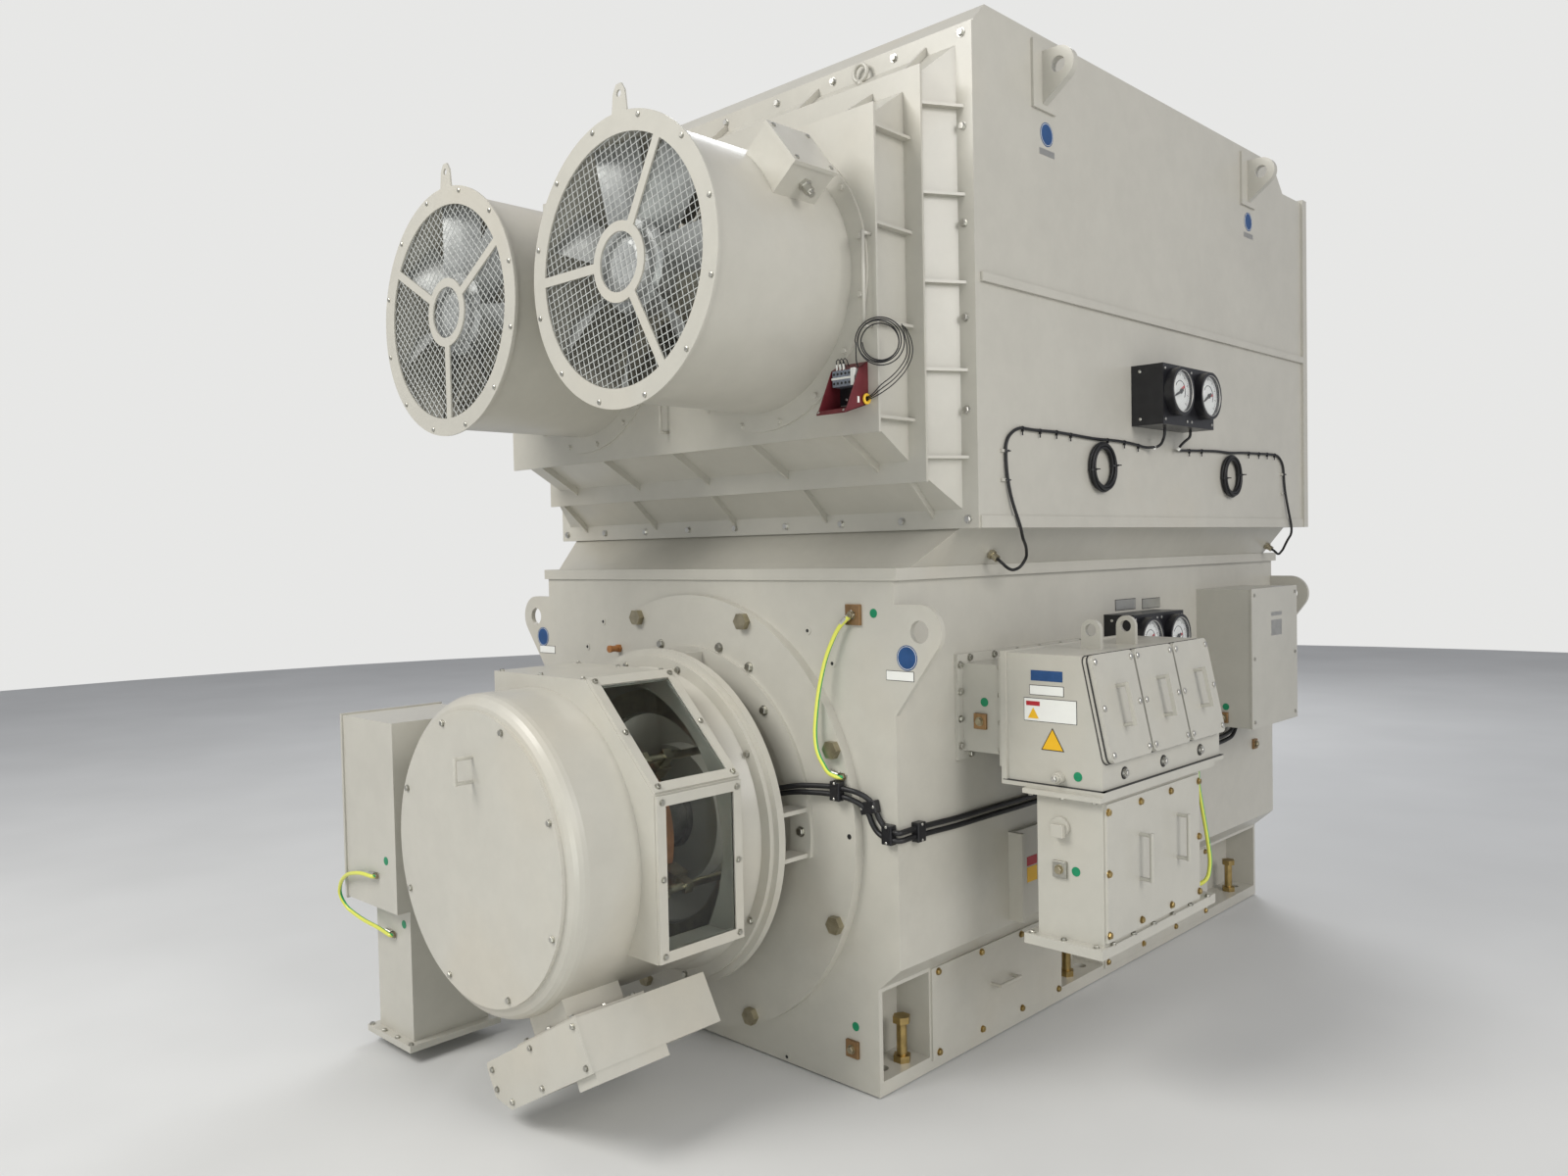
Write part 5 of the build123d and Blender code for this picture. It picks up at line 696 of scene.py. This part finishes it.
def dress_adapter():
    (y0, y1), z0, z1 = BOX_Y, BOX_LIP_Z, 1.205
    places, backs = [], []
    for z in spread(z0 + 0.04, z1 - 0.03, 4):
        places.append((0.801, y0 + 0.012, z))
        backs.append((0.938, y0 + 0.012, z))
    for y in spread(y0 + 0.06, y1 - 0.02, 6):
        for z in (z0 + 0.012, z1 - 0.012):
            places.append((0.801, y, z))
    bolts("adapter_frame_bolts", places, RIGHT, 0.010)
    bolts("adapter_box_bolts", backs, LEFT, 0.010)


def dress_rotor_box():
    face = -0.822
    places = [(face, y, z) for y in (-2.020, -1.700) for z in spread(0.458, 1.010, 4)]
    bolts("rotor_cover_screws", places, LEFT, 0.009)
    places = [(x, -2.005, 0.051) for x in spread(-0.730, -0.490, 4)]
    bolts("rotor_gland_bolts", places, UP, 0.008)


def dress_aux_box():
    face = 1.000
    places = [(face, y, z) for y in (0.572, 0.954) for z in spread(0.842, 1.308, 3)]
    bolts("aux_cover_screws", places, RIGHT, 0.007, screw=True)


def dress_covers():
    """Screws of the covers on the foot rails and of the heater covers, on both sides."""
    bays = ((-1.004 - 0.012, -0.334 + 0.012), (-0.020 - 0.012, 0.770 + 0.012))
    for side, name in SIDES:
        out = RIGHT if side > 0 else LEFT
        places = []
        for y0, y1 in bays:
            for y in spread(y0 + 0.020, y1 - 0.020, 4):
                places += [(side * (FOOT_X + 0.006), y, z) for z in (0.046, 0.282)]
        bolts("bay_cover_screws_" + name, places, out, 0.010, bolt_brass)
        places = [(side * (BODY_X + 0.014), y, z) for y in (-0.718, -0.582) for z in (0.400, 0.634)]
        bolts("heater_cover_screws_" + name, places, out, 0.007, screw=True)


# Fans and hood

def dress_fans():
    guard_front = -1.861
    for side, name in SIDES:
        x = side * FAN_X
        centre = (x, FAN_Z)
        places = on_circle(0.352, [15 + 30 * k for k in range(12)], guard_front, centre)
        bolts("guard_bolts_" + name, places, FRONT, 0.007, screw=True)
        places = on_circle(0.381, [11.25 + 22.5 * k for k in range(16)], -1.371, centre)
        bolts("duct_flange_bolts_" + name, places, FRONT, 0.009, paint_cream)
        wires = bmesh.new()
        turn = radians(14 if x > 0 else 45)
        pitch = 0.0195
        reach = 0.320
        count = int(reach / pitch)
        for family in (0, 1):
            direction = Vector((cos(turn + family * pi / 2), 0, sin(turn + family * pi / 2)))
            square = Vector((-direction.z, 0, direction.x))
            y = -1.8535 + 0.0016 * family
            for index in range(-count, count + 1):
                offset = index * pitch
                half = (reach ** 2 - offset ** 2) ** 0.5
                middle = Vector((x, y, FAN_Z)) + square * offset
                add_tube(wires, [middle - direction * half, middle + direction * half], 0.0013, 4)
        make("guard_mesh_" + name, wires, wire_white)


def add_grip(bm, low, high, out, radius=0.005, reach=0.030):
    """A round bar held off a face by two short legs."""
    low, high, out = Vector(low), Vector(high), Vector(out)
    along = (high - low).normalized()
    add_tube(bm, [low + out * reach, high + out * reach], radius, 10)
    for foot in (low + along * radius, high - along * radius):
        add_tube(bm, [foot, foot + out * reach], radius, 10)


def dress_hood():
    """Bolts of the front flange, the bars on the fan plate and the lifting rings."""
    flange, edge = -1.083, 0.909
    places = []
    for x in spread(-edge, edge, 9):
        places += [(x, flange, z) for z in (1.583, 2.876)]
    for z in (1.876, 2.123, 2.374, 2.630):
        places += [(x, flange, z) for x in (-edge, edge)]
    bolts("front_flange_bolts", places, FRONT, 0.011, steel_plated)
    plate = -1.363
    bm = bmesh.new()
    for x, low, high in ((0.815, 2.073, 2.319), (-0.815, 2.073, 2.319), (0.006, 1.869, 1.977)):
        add_grip(bm, (x, plate, low), (x, plate, high), FRONT)
    make("fan_plate_bars", bm, paint_cream, smooth=True)
    bm = bmesh.new()
    for x in (-0.573, 0.573):
        add_tube(bm, ring_points((x, -1.100, 2.862), FRONT, 0.024, 28), 0.006, 10, closed=True)
        add_disc(bm, (x, -1.100, 2.822), UP, 0.010, 0.018, 20)
    make("hood_lifting_rings", bm, paint_cream, smooth=True)


def junction_frame(side):
    """Middle of the lid, outward direction and the round direction of a fan terminal box."""
    turn = radians(51.5) * side
    outward = Vector((sin(turn), 0, cos(turn)))
    middle = Vector((side * FAN_X, -1.545, FAN_Z)) + outward * (0.344 + 0.092)
    return middle, outward, Vector((cos(turn), 0, -sin(turn)))


def dress_junctions():
    for side, name in SIDES:
        middle, outward, around_it = junction_frame(side)
        places = [middle + around_it * sx * 0.062 + BACK * sy * 0.062 for sx in (-1, 1) for sy in (-1, 1)]
        bolts("junction_lid_screws_" + name, places, outward, 0.007, screw=True)
        bm = bmesh.new()
        place = middle - outward * 0.055 + around_it * side * 0.075
        direction = around_it * side
        for radius, start, length in ((0.017, 0.0, 0.010), (0.013, 0.010, 0.022), (0.009, 0.032, 0.010)):
            add_disc(bm, place + direction * start, direction, radius, length, 6 if radius > 0.012 else 16)
        make("junction_gland_" + name, bm, steel_plated)


# Dial thermometers

# Each gauge box: its wall and its lower front corner, in Y and Z
GAUGES = (("cooler", COOLER_X, -0.230, 1.880), ("frame", BODY_X, -0.145, 1.082))
GAUGE_DEPTH = 0.108
DIAL_FACE = 0.016


def dial_frames():
    """Each dial's middle on its white face, in the order of the pointer bodies."""
    frames = []
    for _, wall, y0, z0 in GAUGES:
        for side in (-1, 1):
            x = wall + GAUGE_DEPTH + DIAL_FACE
            frames.append(Vector((x, y0 + 0.18 + side * 0.101, z0 + 0.1045)))
    return frames


def clock(angle):
    """On a face toward the terminal side, the direction at an angle from the top, and one square to it."""
    return Vector((0, sin(angle), cos(angle))), Vector((0, cos(angle), -sin(angle)))


def dress_dials():
    for index, middle in enumerate(dial_frames()):
        name = str(index + 1)
        disc_piece("dial_face_" + name, middle, RIGHT, 0.0655, dial_white, 0.0008, 64)
        marks = bmesh.new()
        for tick in range(41):
            long = tick % 5 == 0
            inner, outer = (0.049 if long else 0.053), 0.058
            direction, square = clock(radians(-135 + 270 * tick / 40))
            half = 0.0011 if long else 0.0006
            base = middle + RIGHT * 0.0009
            ring = [base + direction * inner - square * half, base + direction * outer - square * half,
                    base + direction * outer + square * half, base + direction * inner + square * half]
            add_prism(marks, ring, RIGHT, 0.0003)
        arc = [middle + RIGHT * 0.0012 + clock(radians(a))[0] * 0.034 for a in range(-60, 130, 10)]
        add_tube(marks, arc, 0.0012, 4)
        make("dial_marks_" + name, marks, dial_black)
        hand = bmesh.new()
        direction, square = clock(radians(58 + 22 * (index % 2)))
        base = middle + RIGHT * 0.0014
        ring = [base - square * 0.006, base + direction * 0.030 - square * 0.004, base + direction * 0.036,
                base + direction * 0.030 + square * 0.004, base + square * 0.006]
        add_prism(hand, ring, RIGHT, 0.0008)
        make("dial_limit_hand_" + name, hand, dial_red)
        disc_piece("dial_glass_" + name, middle + RIGHT * 0.0105, RIGHT, 0.0658, dial_glass, 0.0022, 64)
        rim = bmesh.new()
        ring = ring_points(middle + RIGHT * 0.0128, RIGHT, 0.0652, 64)
        add_tube(rim, ring, 0.0018, 8, closed=True)
        make("dial_rim_" + name, rim, steel_plated, smooth=True)
    for name, wall, y0, z0 in GAUGES:
        face = wall + GAUGE_DEPTH
        places = [(face, y0 + dy, z0 + dz) for dy in (0.014, 0.164, 0.196, 0.346)
                  for dz in (0.016, 0.174)]
        bolts("gauge_screws_" + name, places, RIGHT, 0.005, steel_plated, screw=True)
        places = [(wall + 0.03, y0, z0 + dz) for dz in (0.02, 0.17)]
        bolts("gauge_side_screws_" + name, places, FRONT, 0.005, steel_plated, screw=True)


# Small plates, earth pads and stickers

def disc_piece(name, place, normal, radius, material, thick=0.0010, count=32):
    bm = bmesh.new()
    add_disc(bm, place, normal, radius, thick, count)
    make(name, bm, material)


def dress_stickers():
    greens = {
        "shield_upper": (0.718, -END_FACE, 1.334), "shield_lower": (0.627, -END_FACE, 0.177),
        "adapter": (0.873, -0.969, 1.073), "main_box": (1.179, BOX_FRONT, 0.903),
        "cable_box": (1.170, BOX_FRONT, 0.652), "aux_box": (0.900, 0.551, 0.895),
        "rotor_box": (-0.560, -2.030, 0.600), "rotor_duct": (-0.545, -1.986, 0.400)}
    for name, place in greens.items():
        disc_piece("earth_dot_" + name, place, FRONT, 0.0125, sticker_green)
    blues = {
        "nde_right": ((0.830, -END_FACE, 1.218), FRONT), "nde_left": ((-0.831, -END_FACE, 1.215), FRONT),
        "cooler_nde": ((COOLER_X, -0.716, 2.684), RIGHT), "cooler_de": ((COOLER_X, 0.684, 2.692), RIGHT)}
    for name, (place, normal) in blues.items():
        disc_piece("lifting_dot_" + name, place, normal, 0.034, sticker_blue)
        bm = bmesh.new()
        ring = ring_points(Vector(place) + normal * 0.0010, normal, 0.0305, 40)
        add_tube(bm, ring, 0.0007, 4, closed=True)
        make("lifting_dot_ring_" + name, bm, plate_white)


def earth_pad(name, place, normal, width=0.040, material=pad_brown):
    """A machined pad welded to the wall, with its bolt."""
    bm = bmesh.new()
    add_plate(bm, place, normal, width, width * 1.1, 0.010)
    make("earth_pad_" + name, bm, material, bevel=0.0012)
    bm = bmesh.new()
    add_bolt(bm, Vector(place) + normal * 0.010, normal, 0.012, 0.2)
    make("earth_bolt_" + name, bm, bolt_gold)


def dress_earth_pads():
    earth_pad("shield_upper", (0.650, -END_FACE, 1.329), FRONT, 0.052)
    earth_pad("shield_lower", (0.618, -END_FACE, 0.113), FRONT, 0.044)
    earth_pad("adapter", (0.862, -0.969, 1.019), FRONT)
    earth_pad("cable_box", (1.125, BOX_FRONT, 0.652), FRONT, material=bolt_grey)
    earth_pad("aux_box", (0.892, 0.551, 0.855), FRONT, 0.036)


def add_triangle(bm, place, normal, width, thick):
    across, upward, _ = basis(normal)
    base = Vector(place) - upward * width * 0.30
    ring = [base - across * width / 2, base + across * width / 2, Vector(place) + upward * width * 0.57]
    add_prism(bm, ring, normal, thick)


def dress_plates():
    """Bare plates where the photograph has lettered ones."""
    wall = BOX_FRONT
    blue, white, edges, red, yellow, bare = (bmesh.new() for _ in range(6))
    add_plate(blue, (1.089, wall, 1.1615), FRONT, 0.096, 0.028, 0.0010)
    for x, z, width, height in ((1.0885, 1.1225, 0.101, 0.024), (1.0985, 1.0695, 0.157, 0.060)):
        add_plate(edges, (x, wall, z), FRONT, width + 0.003, height + 0.003, 0.0008)
        add_plate(white, (x, wall - 0.0008, z), FRONT, width, height, 0.0004)
    add_plate(red, (1.047, wall - 0.0012, 1.0860), FRONT, 0.042, 0.012, 0.0003)
    add_triangle(yellow, (1.0475, wall - 0.0012, 1.0560), FRONT, 0.034, 0.0003)
    add_triangle(edges, (1.105, wall, 0.9845), FRONT, 0.070, 0.0008)
    add_triangle(yellow, (1.105, wall - 0.0008, 0.9845), FRONT, 0.062, 0.0004)
    for y, z, width, height in ((0.004, 1.299, 0.139, 0.034), (0.190, 1.295, 0.129, 0.032)):
        add_plate(edges, (BODY_X, y, z), RIGHT, width + 0.004, height + 0.004, 0.0008)
        add_plate(bare, (BODY_X + 0.0008, y, z), RIGHT, width, height, 0.0006)
    add_plate(bare, (1.000, 0.774, 1.232), RIGHT, 0.100, 0.014, 0.0008)
    add_plate(bare, (1.000, 0.774, 1.180), RIGHT, 0.100, 0.058, 0.0008)
    add_plate(red, (BODY_X + 0.014, -0.627, 0.546), RIGHT, 0.056, 0.028, 0.0008)
    add_plate(yellow, (BODY_X + 0.014, -0.627, 0.505), RIGHT, 0.056, 0.046, 0.0008)
    for x, z in ((0.806, 1.169), (-0.806, 1.170)):
        add_plate(edges, (x, -END_FACE, z), FRONT, 0.094, 0.027, 0.0008)
        add_plate(white, (x, -END_FACE - 0.0008, z), FRONT, 0.091, 0.024, 0.0004)
    for y, z in ((-0.716, 2.632), (0.684, 2.641)):
        add_plate(bare, (COOLER_X, y, z), RIGHT, 0.080, 0.018, 0.0006)
    make_all((("blank_plate_blue", blue, sticker_blue), ("blank_plates_white", white, plate_white),
              ("blank_plates_metal", bare, steel_plated), ("blank_plate_edges", edges, dial_black),
              ("blank_plate_red", red, plate_red), ("blank_plates_yellow", yellow, plate_yellow)))


def dress_shield():
    """Small tapped holes, drawn as black discs of painted shade, and the sensor on the end plate and the
    end shield.
    """
    seats, hole_shade = bmesh.new(), bmesh.new()
    for x, z in ((0.474, 1.279), (0.566, 1.190), (-0.474, 1.279), (-0.566, 1.190), (0.357, 0.015),
                 (-0.357, 0.015)):
        add_disc(seats, (x, -END_FACE, z), FRONT, 0.0120, 0.0020, 28)
        # Black discs in the seats: painted shade of the tapped holes
        add_disc(hole_shade, (x, -END_FACE - 0.0020, z), FRONT, 0.0052, 0.0003, 20)
    add_disc(hole_shade, (0.643, SHIELD_FACE, 0.719), FRONT, 0.0075, 0.0004, 24)
    make("small_hole_seats", seats, paint_cream)
    make("small_hole_shade", hole_shade, dial_black)
    bm = bmesh.new()
    place = Vector((-0.350, SHIELD_FACE, 1.196))
    add_disc(bm, place, FRONT, 0.014, 0.010, 6)
    add_disc(bm, place + FRONT * 0.010, FRONT, 0.010, 0.026, 24)
    add_disc(bm, place + FRONT * 0.036, FRONT, 0.012, 0.008, 24)
    make("bearing_sensor", bm, sensor_brown)
    bm = bmesh.new()
    normal = Vector((0.8196, 0, -0.5729))
    for y in (-0.857, 1.120):
        root = Vector((0.8231, y, 1.489))
        add_disc(bm, root + normal * 0.002, normal, 0.0150, 0.011, 6)
        add_disc(bm, root + normal * 0.013, normal, 0.0105, 0.0176, 24)
    make("collar_gland_bodies", bm, brass)
    earth_pad("frame_side", (BODY_X, 1.068, 0.678), RIGHT, 0.036)


# Leads and what holds them

def add_tie(bm, place, along, radius, head=FRONT, tail=0.010):
    """A plastic tie round a lead, with its head and cut tail on one side."""
    along, head, place = Vector(along).normalized(), Vector(head), Vector(place)
    add_disc(bm, place - along * 0.0022, along, radius, 0.0044, 16)
    add_plate(bm, place + head * radius * 0.9, head, 0.0065, 0.0055, 0.0045, along)
    add_plate(bm, place + head * (radius * 0.9 + 0.0045), head, 0.0024, 0.0034, tail, along)


def dress_capillaries():
    """Ties, wall clips and sleeves along the sensor leads of the cooler thermometer."""
    wall = COOLER_X
    ties, clips, sleeves = bmesh.new(), bmesh.new(), bmesh.new()
    for y, z in ((-0.873, 1.8365), (-0.782, 1.8345), (-0.693, 1.8355), (-0.614, 1.8325), (-0.396, 1.8280),
                 (-0.290, 1.8270), (-0.200, 1.8205), (0.166, 1.8210), (0.262, 1.8245), (0.659, 1.8340),
                 (0.752, 1.8360), (0.830, 1.8378), (0.900, 1.8378)):
        add_plate(clips, (wall, y, z), RIGHT, 0.010, 0.016, 0.002)
        add_tie(ties, (0.948, y, z), BACK, 0.0060, DOWN)
    for y, high, low in ((-0.958, 1.770, 1.690), (0.990, 1.765, 1.690)):
        for z in (high, low):
            add_plate(clips, (wall, y - 0.004, z), RIGHT, 0.030, 0.008, 0.006)
            add_tie(ties, (0.949, y + 0.002, z), UP, 0.0060, BACK)
    for y, z, along in ((-0.122, 1.8195, (-0.6, -0.4, -0.7)), (0.052, 1.8240, (-0.7, -0.1, -0.7))):
        add_disc(sleeves, (0.968, y, z), along, 0.0062, 0.010, 16)
    make("lead_clip_plates", clips, paint_cream)
    make("lead_ties", ties, black_plastic)
    make("lead_sleeves", sleeves, plate_white)


COIL_PLACES = [(COOLER_X + 0.012, y, 1.743) for y in (-0.435, 0.495)]
COIL_RADIUS = 0.066
COIL_STRANDS = 5
COIL_LAY = 0.0074


def dress_coils():
    """The spare length of each sensor lead, wound into a neat coil held by two ties."""
    bm, ties = bmesh.new(), bmesh.new()
    steps = 36
    for place in COIL_PLACES:
        centre = Vector(place)
        points = []
        for index in range(steps * COIL_STRANDS):
            turn = 2 * pi * index / steps
            lay = turn * 2 / COIL_STRANDS
            radius = COIL_RADIUS + COIL_LAY * cos(lay)
            points.append(centre + Vector((COIL_LAY * sin(lay), radius * sin(turn), radius * cos(turn))))
        add_tube(bm, points, 0.0044, 8, closed=True)
        for angle in (radians(84), radians(262)):
            outward, along = clock(angle)
            add_tie(ties, centre + outward * COIL_RADIUS, along, 0.0128, RIGHT)
    piece = make("sensor_lead_coils", bm, black_rubber, smooth=True)
    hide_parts("lead_coils")
    make("coil_ties", ties, black_plastic)


def dress_side_cables():
    """The clamp blocks that hold the two cables on the end shield and on the frame."""
    bm, screws = bmesh.new(), bmesh.new()
    for place, along, out in (((0.617, -1.309, 0.846), (1, 0, -0.03), FRONT),
                              ((0.704, -1.273, 0.806), (0.25, 0, -1), FRONT),
                              ((0.766, -1.270, 0.740), (1, 0, 0), FRONT),
                              ((0.801, -1.185, 0.738), (0, 1, 0), RIGHT),
                              ((0.799, -0.200, 0.733), (0, 1, 0), RIGHT),
                              ((0.801, 0.380, 0.736), (0, 1, 0), RIGHT)):
        place, out = Vector(place), Vector(out)
        add_plate(bm, place - out * 0.012, out, 0.054, 0.034, 0.025, along)
        across = basis(out, along)[0]
        for side in (-1, 1):
            add_screw(screws, place + out * 0.013 + across * side * 0.0215, out, 0.004)
    make("cable_clamps", bm, black_plastic, bevel=0.0025)
    make("cable_clamp_screws", screws, steel_plated)


def add_lug(bm, eye, away, out):
    """A crimped ring lug: its palm on the eye and its barrel along the lead."""
    eye, out = Vector(eye), Vector(out)
    along = Vector(away).normalized()
    add_plate(bm, eye + along * 0.004, out, 0.019, 0.028, 0.0028, along)
    add_disc(bm, eye + along * 0.016 + out * 0.002, along, 0.0078, 0.024, 18)


def dress_earth_leads():
    """Ring lugs and bolts at the ends of the flexible earth leads."""
    bm, screws = bmesh.new(), bmesh.new()
    for eye, away, out in (((0.650, -1.2735, 1.330), (-0.75, -0.15, -0.60), FRONT),
                           ((0.627, SHIELD_FACE, 0.883), (-0.9, -0.25, 0.25), FRONT),
                           ((-0.615, -2.030, 0.546), (-0.98, -0.16, 0.04), FRONT),
                           ((-0.602, -1.986, 0.357), (-0.95, -0.20, 0.20), FRONT)):
        add_lug(bm, eye, away, out)
        add_bolt(screws, Vector(eye) + Vector(out) * 0.0028, out, 0.010)
    make("earth_lugs", bm, steel_plated, bevel=0.0006)
    make("earth_lug_bolts", screws, bolt_gold)


# Open terminal tray beside the right fan

TRAY_X = (0.703, 0.800)
TRAY_OUTLINE = ((-1.363, 1.882), (-1.363, 1.992), (-1.397, 1.974), (-1.456, 1.854))
TRAY_SHEET = 0.0025
TRAY_LIP_NORMAL = (0, -0.90, 0.44)
TRAY_BACK_Y = -1.3665
LOOSE_COIL = Vector((0.842, -1.366, 2.036))
LOOSE_COIL_ACROSS = Vector((0.719, 0.694, 0.0))


def in_loop(across, height, out=0.0):
    """A point of the loose coil's own plane, which faces the photograph's camera."""
    return LOOSE_COIL + LOOSE_COIL_ACROSS * across + UP * height + LOOSE_COIL_ACROSS.cross(UP) * out


def wire(name, route, diameter):
    """A free wire on a smooth curve, from where it leaves the tray's gland to its other end."""
    data = bpy.data.curves.new(name, "CURVE")
    data.dimensions = "3D"
    data.bevel_depth = diameter / 2
    data.bevel_resolution = 2
    data.resolution_u = 6
    data.materials.append(black_rubber)
    spline = data.splines.new("NURBS")
    spline.points.add(len(route) - 1)
    for point, place in zip(spline.points, route):
        point.co = (place[0], place[1], place[2], 1.0)
    spline.use_endpoint_u = True
    spline.order_u = 3
    piece = bpy.data.objects.new(name, data)
    bpy.context.scene.collection.objects.link(piece)
    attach(piece, "frame")


def dress_tray():
    x0, x1 = TRAY_X
    bm = bmesh.new()
    for x, way in ((x0, RIGHT), (x1, LEFT)):
        add_prism(bm, [Vector((x, y, z)) for y, z in TRAY_OUTLINE], way, TRAY_SHEET)
    back_low, back_high, front_high, front_low = TRAY_OUTLINE
    for (ya, za), (yb, zb), way in ((back_low, front_low, UP), (back_high, front_high, DOWN)):
        ring = [Vector((x0, ya, za)), Vector((x1, ya, za)), Vector((x1, yb, zb)), Vector((x0, yb, zb))]
        add_prism(bm, ring, way, TRAY_SHEET)
    add_plate(bm, ((x0 + x1) / 2, -1.4535, 1.860), TRAY_LIP_NORMAL, x1 - x0, 0.012, 0.002)
    make("terminal_tray", bm, tray_red_and_shade, bevel=0.0005)
    # Painted shade: a black box inside the tray that stands in for the shadow there
    bm = bmesh.new()
    add_box(bm, (x0 + 0.003, TRAY_BACK_Y, 1.886), (x1 - 0.003, -1.3632, 1.986))
    make("tray_painted_shade_box", bm, black_plastic)
    body, rail, hole_shade, ferrules, screws = (bmesh.new() for _ in range(5))
    ways, pitch = 6, 0.0130
    low, high = 1.930, 1.972
    for index in range(ways):
        left = 0.7115 + index * pitch
        add_box(body, (left, -1.402, low), (left + 0.0118, TRAY_BACK_Y, high))
        # Black discs on the block's face: painted shade of its screw holes
        for z in (low + 0.009, high - 0.009):
            add_disc(hole_shade, (left + 0.0059, -1.402, z), FRONT, 0.0036, 0.0006, 14)
    add_box(rail, (0.7100, -1.4045, 1.9485), (0.7895, -1.4000, 1.9540))
    add_box(rail, (0.7765, -1.4060, 1.930), (0.7895, TRAY_BACK_Y, 1.974))
    for x in (0.722, 0.7335, 0.745):
        add_disc(ferrules, (x, -1.394, 1.970), (0.05, -0.15, 1), 0.0030, 0.019, 12)
    for x in (0.709, 0.794):
        add_screw(screws, (x, -1.455, 1.8615), TRAY_LIP_NORMAL, 0.0035)
    for x, z in ((0.728, 1.900), (0.762, 1.900), (0.775, 1.917)):
        add_screw(screws, (x, TRAY_BACK_Y, z), FRONT, 0.004)
    make("terminal_block", body, terminal_grey, bevel=0.0008)
    make("terminal_rail", rail, plate_white, bevel=0.0005)
    make("terminal_screw_hole_shade", hole_shade, dial_black)
    make("white_ferrules", ferrules, plate_white)
    make("tray_screws", screws, steel_plated)
    nut, mark = bmesh.new(), bmesh.new()
    add_tube(nut, ring_points((x1 + 0.005, -1.376, 1.894), RIGHT, 0.0105, 28), 0.0040, 10, closed=True)
    add_plate(mark, (x1, -1.404, 1.891), RIGHT, 0.007, 0.016, 0.0012)
    make("tray_gland_ring", nut, lead_yellow, smooth=True)
    make("tray_mark", mark, plate_white)


def dress_loose_coil():
    """The spare wire beside the tray, wound in four turns, and the cores that return to the gland."""
    turns, steps = 4, 18
    route = [Vector((0.794, -1.388, 1.966)), Vector((0.795, -1.404, 1.982)), in_loop(-0.061, -0.024, 0.010),
             in_loop(-0.060, -0.004, 0.010)]
    for index in range(turns * steps + 1):
        turn = 2 * pi * index / steps
        share = index / (turns * steps)
        radius = 0.0635 - 0.0185 * share
        drift = 0.0028 * sin(turn * 0.36)
        across, height = drift - radius * cos(turn), radius * sin(turn) - drift / 2
        route.append(in_loop(across, height, 0.010 * (1 - share)))
    wire("spare_wire_coil", route, 0.0033)
    for index in range(3):
        inward = 1.0 - 0.085 * index
        gland = Vector((0.800, -1.376, 1.891 + 0.003 * index))
        loop = [gland, gland + RIGHT * 0.020 + UP * 0.002, in_loop(0.000, -0.132 * inward),
                in_loop(0.036 * inward, -0.108 * inward), in_loop(0.071 * inward, -0.070 * inward),
                in_loop(0.087 * inward, -0.029), in_loop(0.080 * inward, 0.014),
                in_loop(0.064 - 0.004 * index, 0.034 + 0.004 * index, 0.012)]
        wire("spare_core_" + str(index + 1), loop, 0.0029)
    ends = bmesh.new()
    for x in (0.722, 0.7335, 0.745):
        add_tube(ends, [(x, -1.397, 1.988), (x + 0.001, -1.398, 1.998), (x + 0.008, -1.399, 2.002),
                        (x + 0.014, -1.398, 1.996), (x + 0.016, -1.392, 1.980)], 0.0013, 8)
    make("terminal_wire_ends", ends, black_rubber, smooth=True)


def main():
    setup_stage()
    dress_nodes()
    dress_housing()
    dress_filter()
    dress_main_box()
    dress_cable_box()
    dress_adapter()
    dress_rotor_box()
    dress_aux_box()
    dress_covers()
    dress_fans()
    dress_hood()
    dress_junctions()
    dress_dials()
    dress_stickers()
    dress_earth_pads()
    dress_plates()
    dress_shield()
    dress_capillaries()
    dress_coils()
    dress_side_cables()
    dress_earth_leads()
    dress_tray()
    dress_loose_coil()


main()
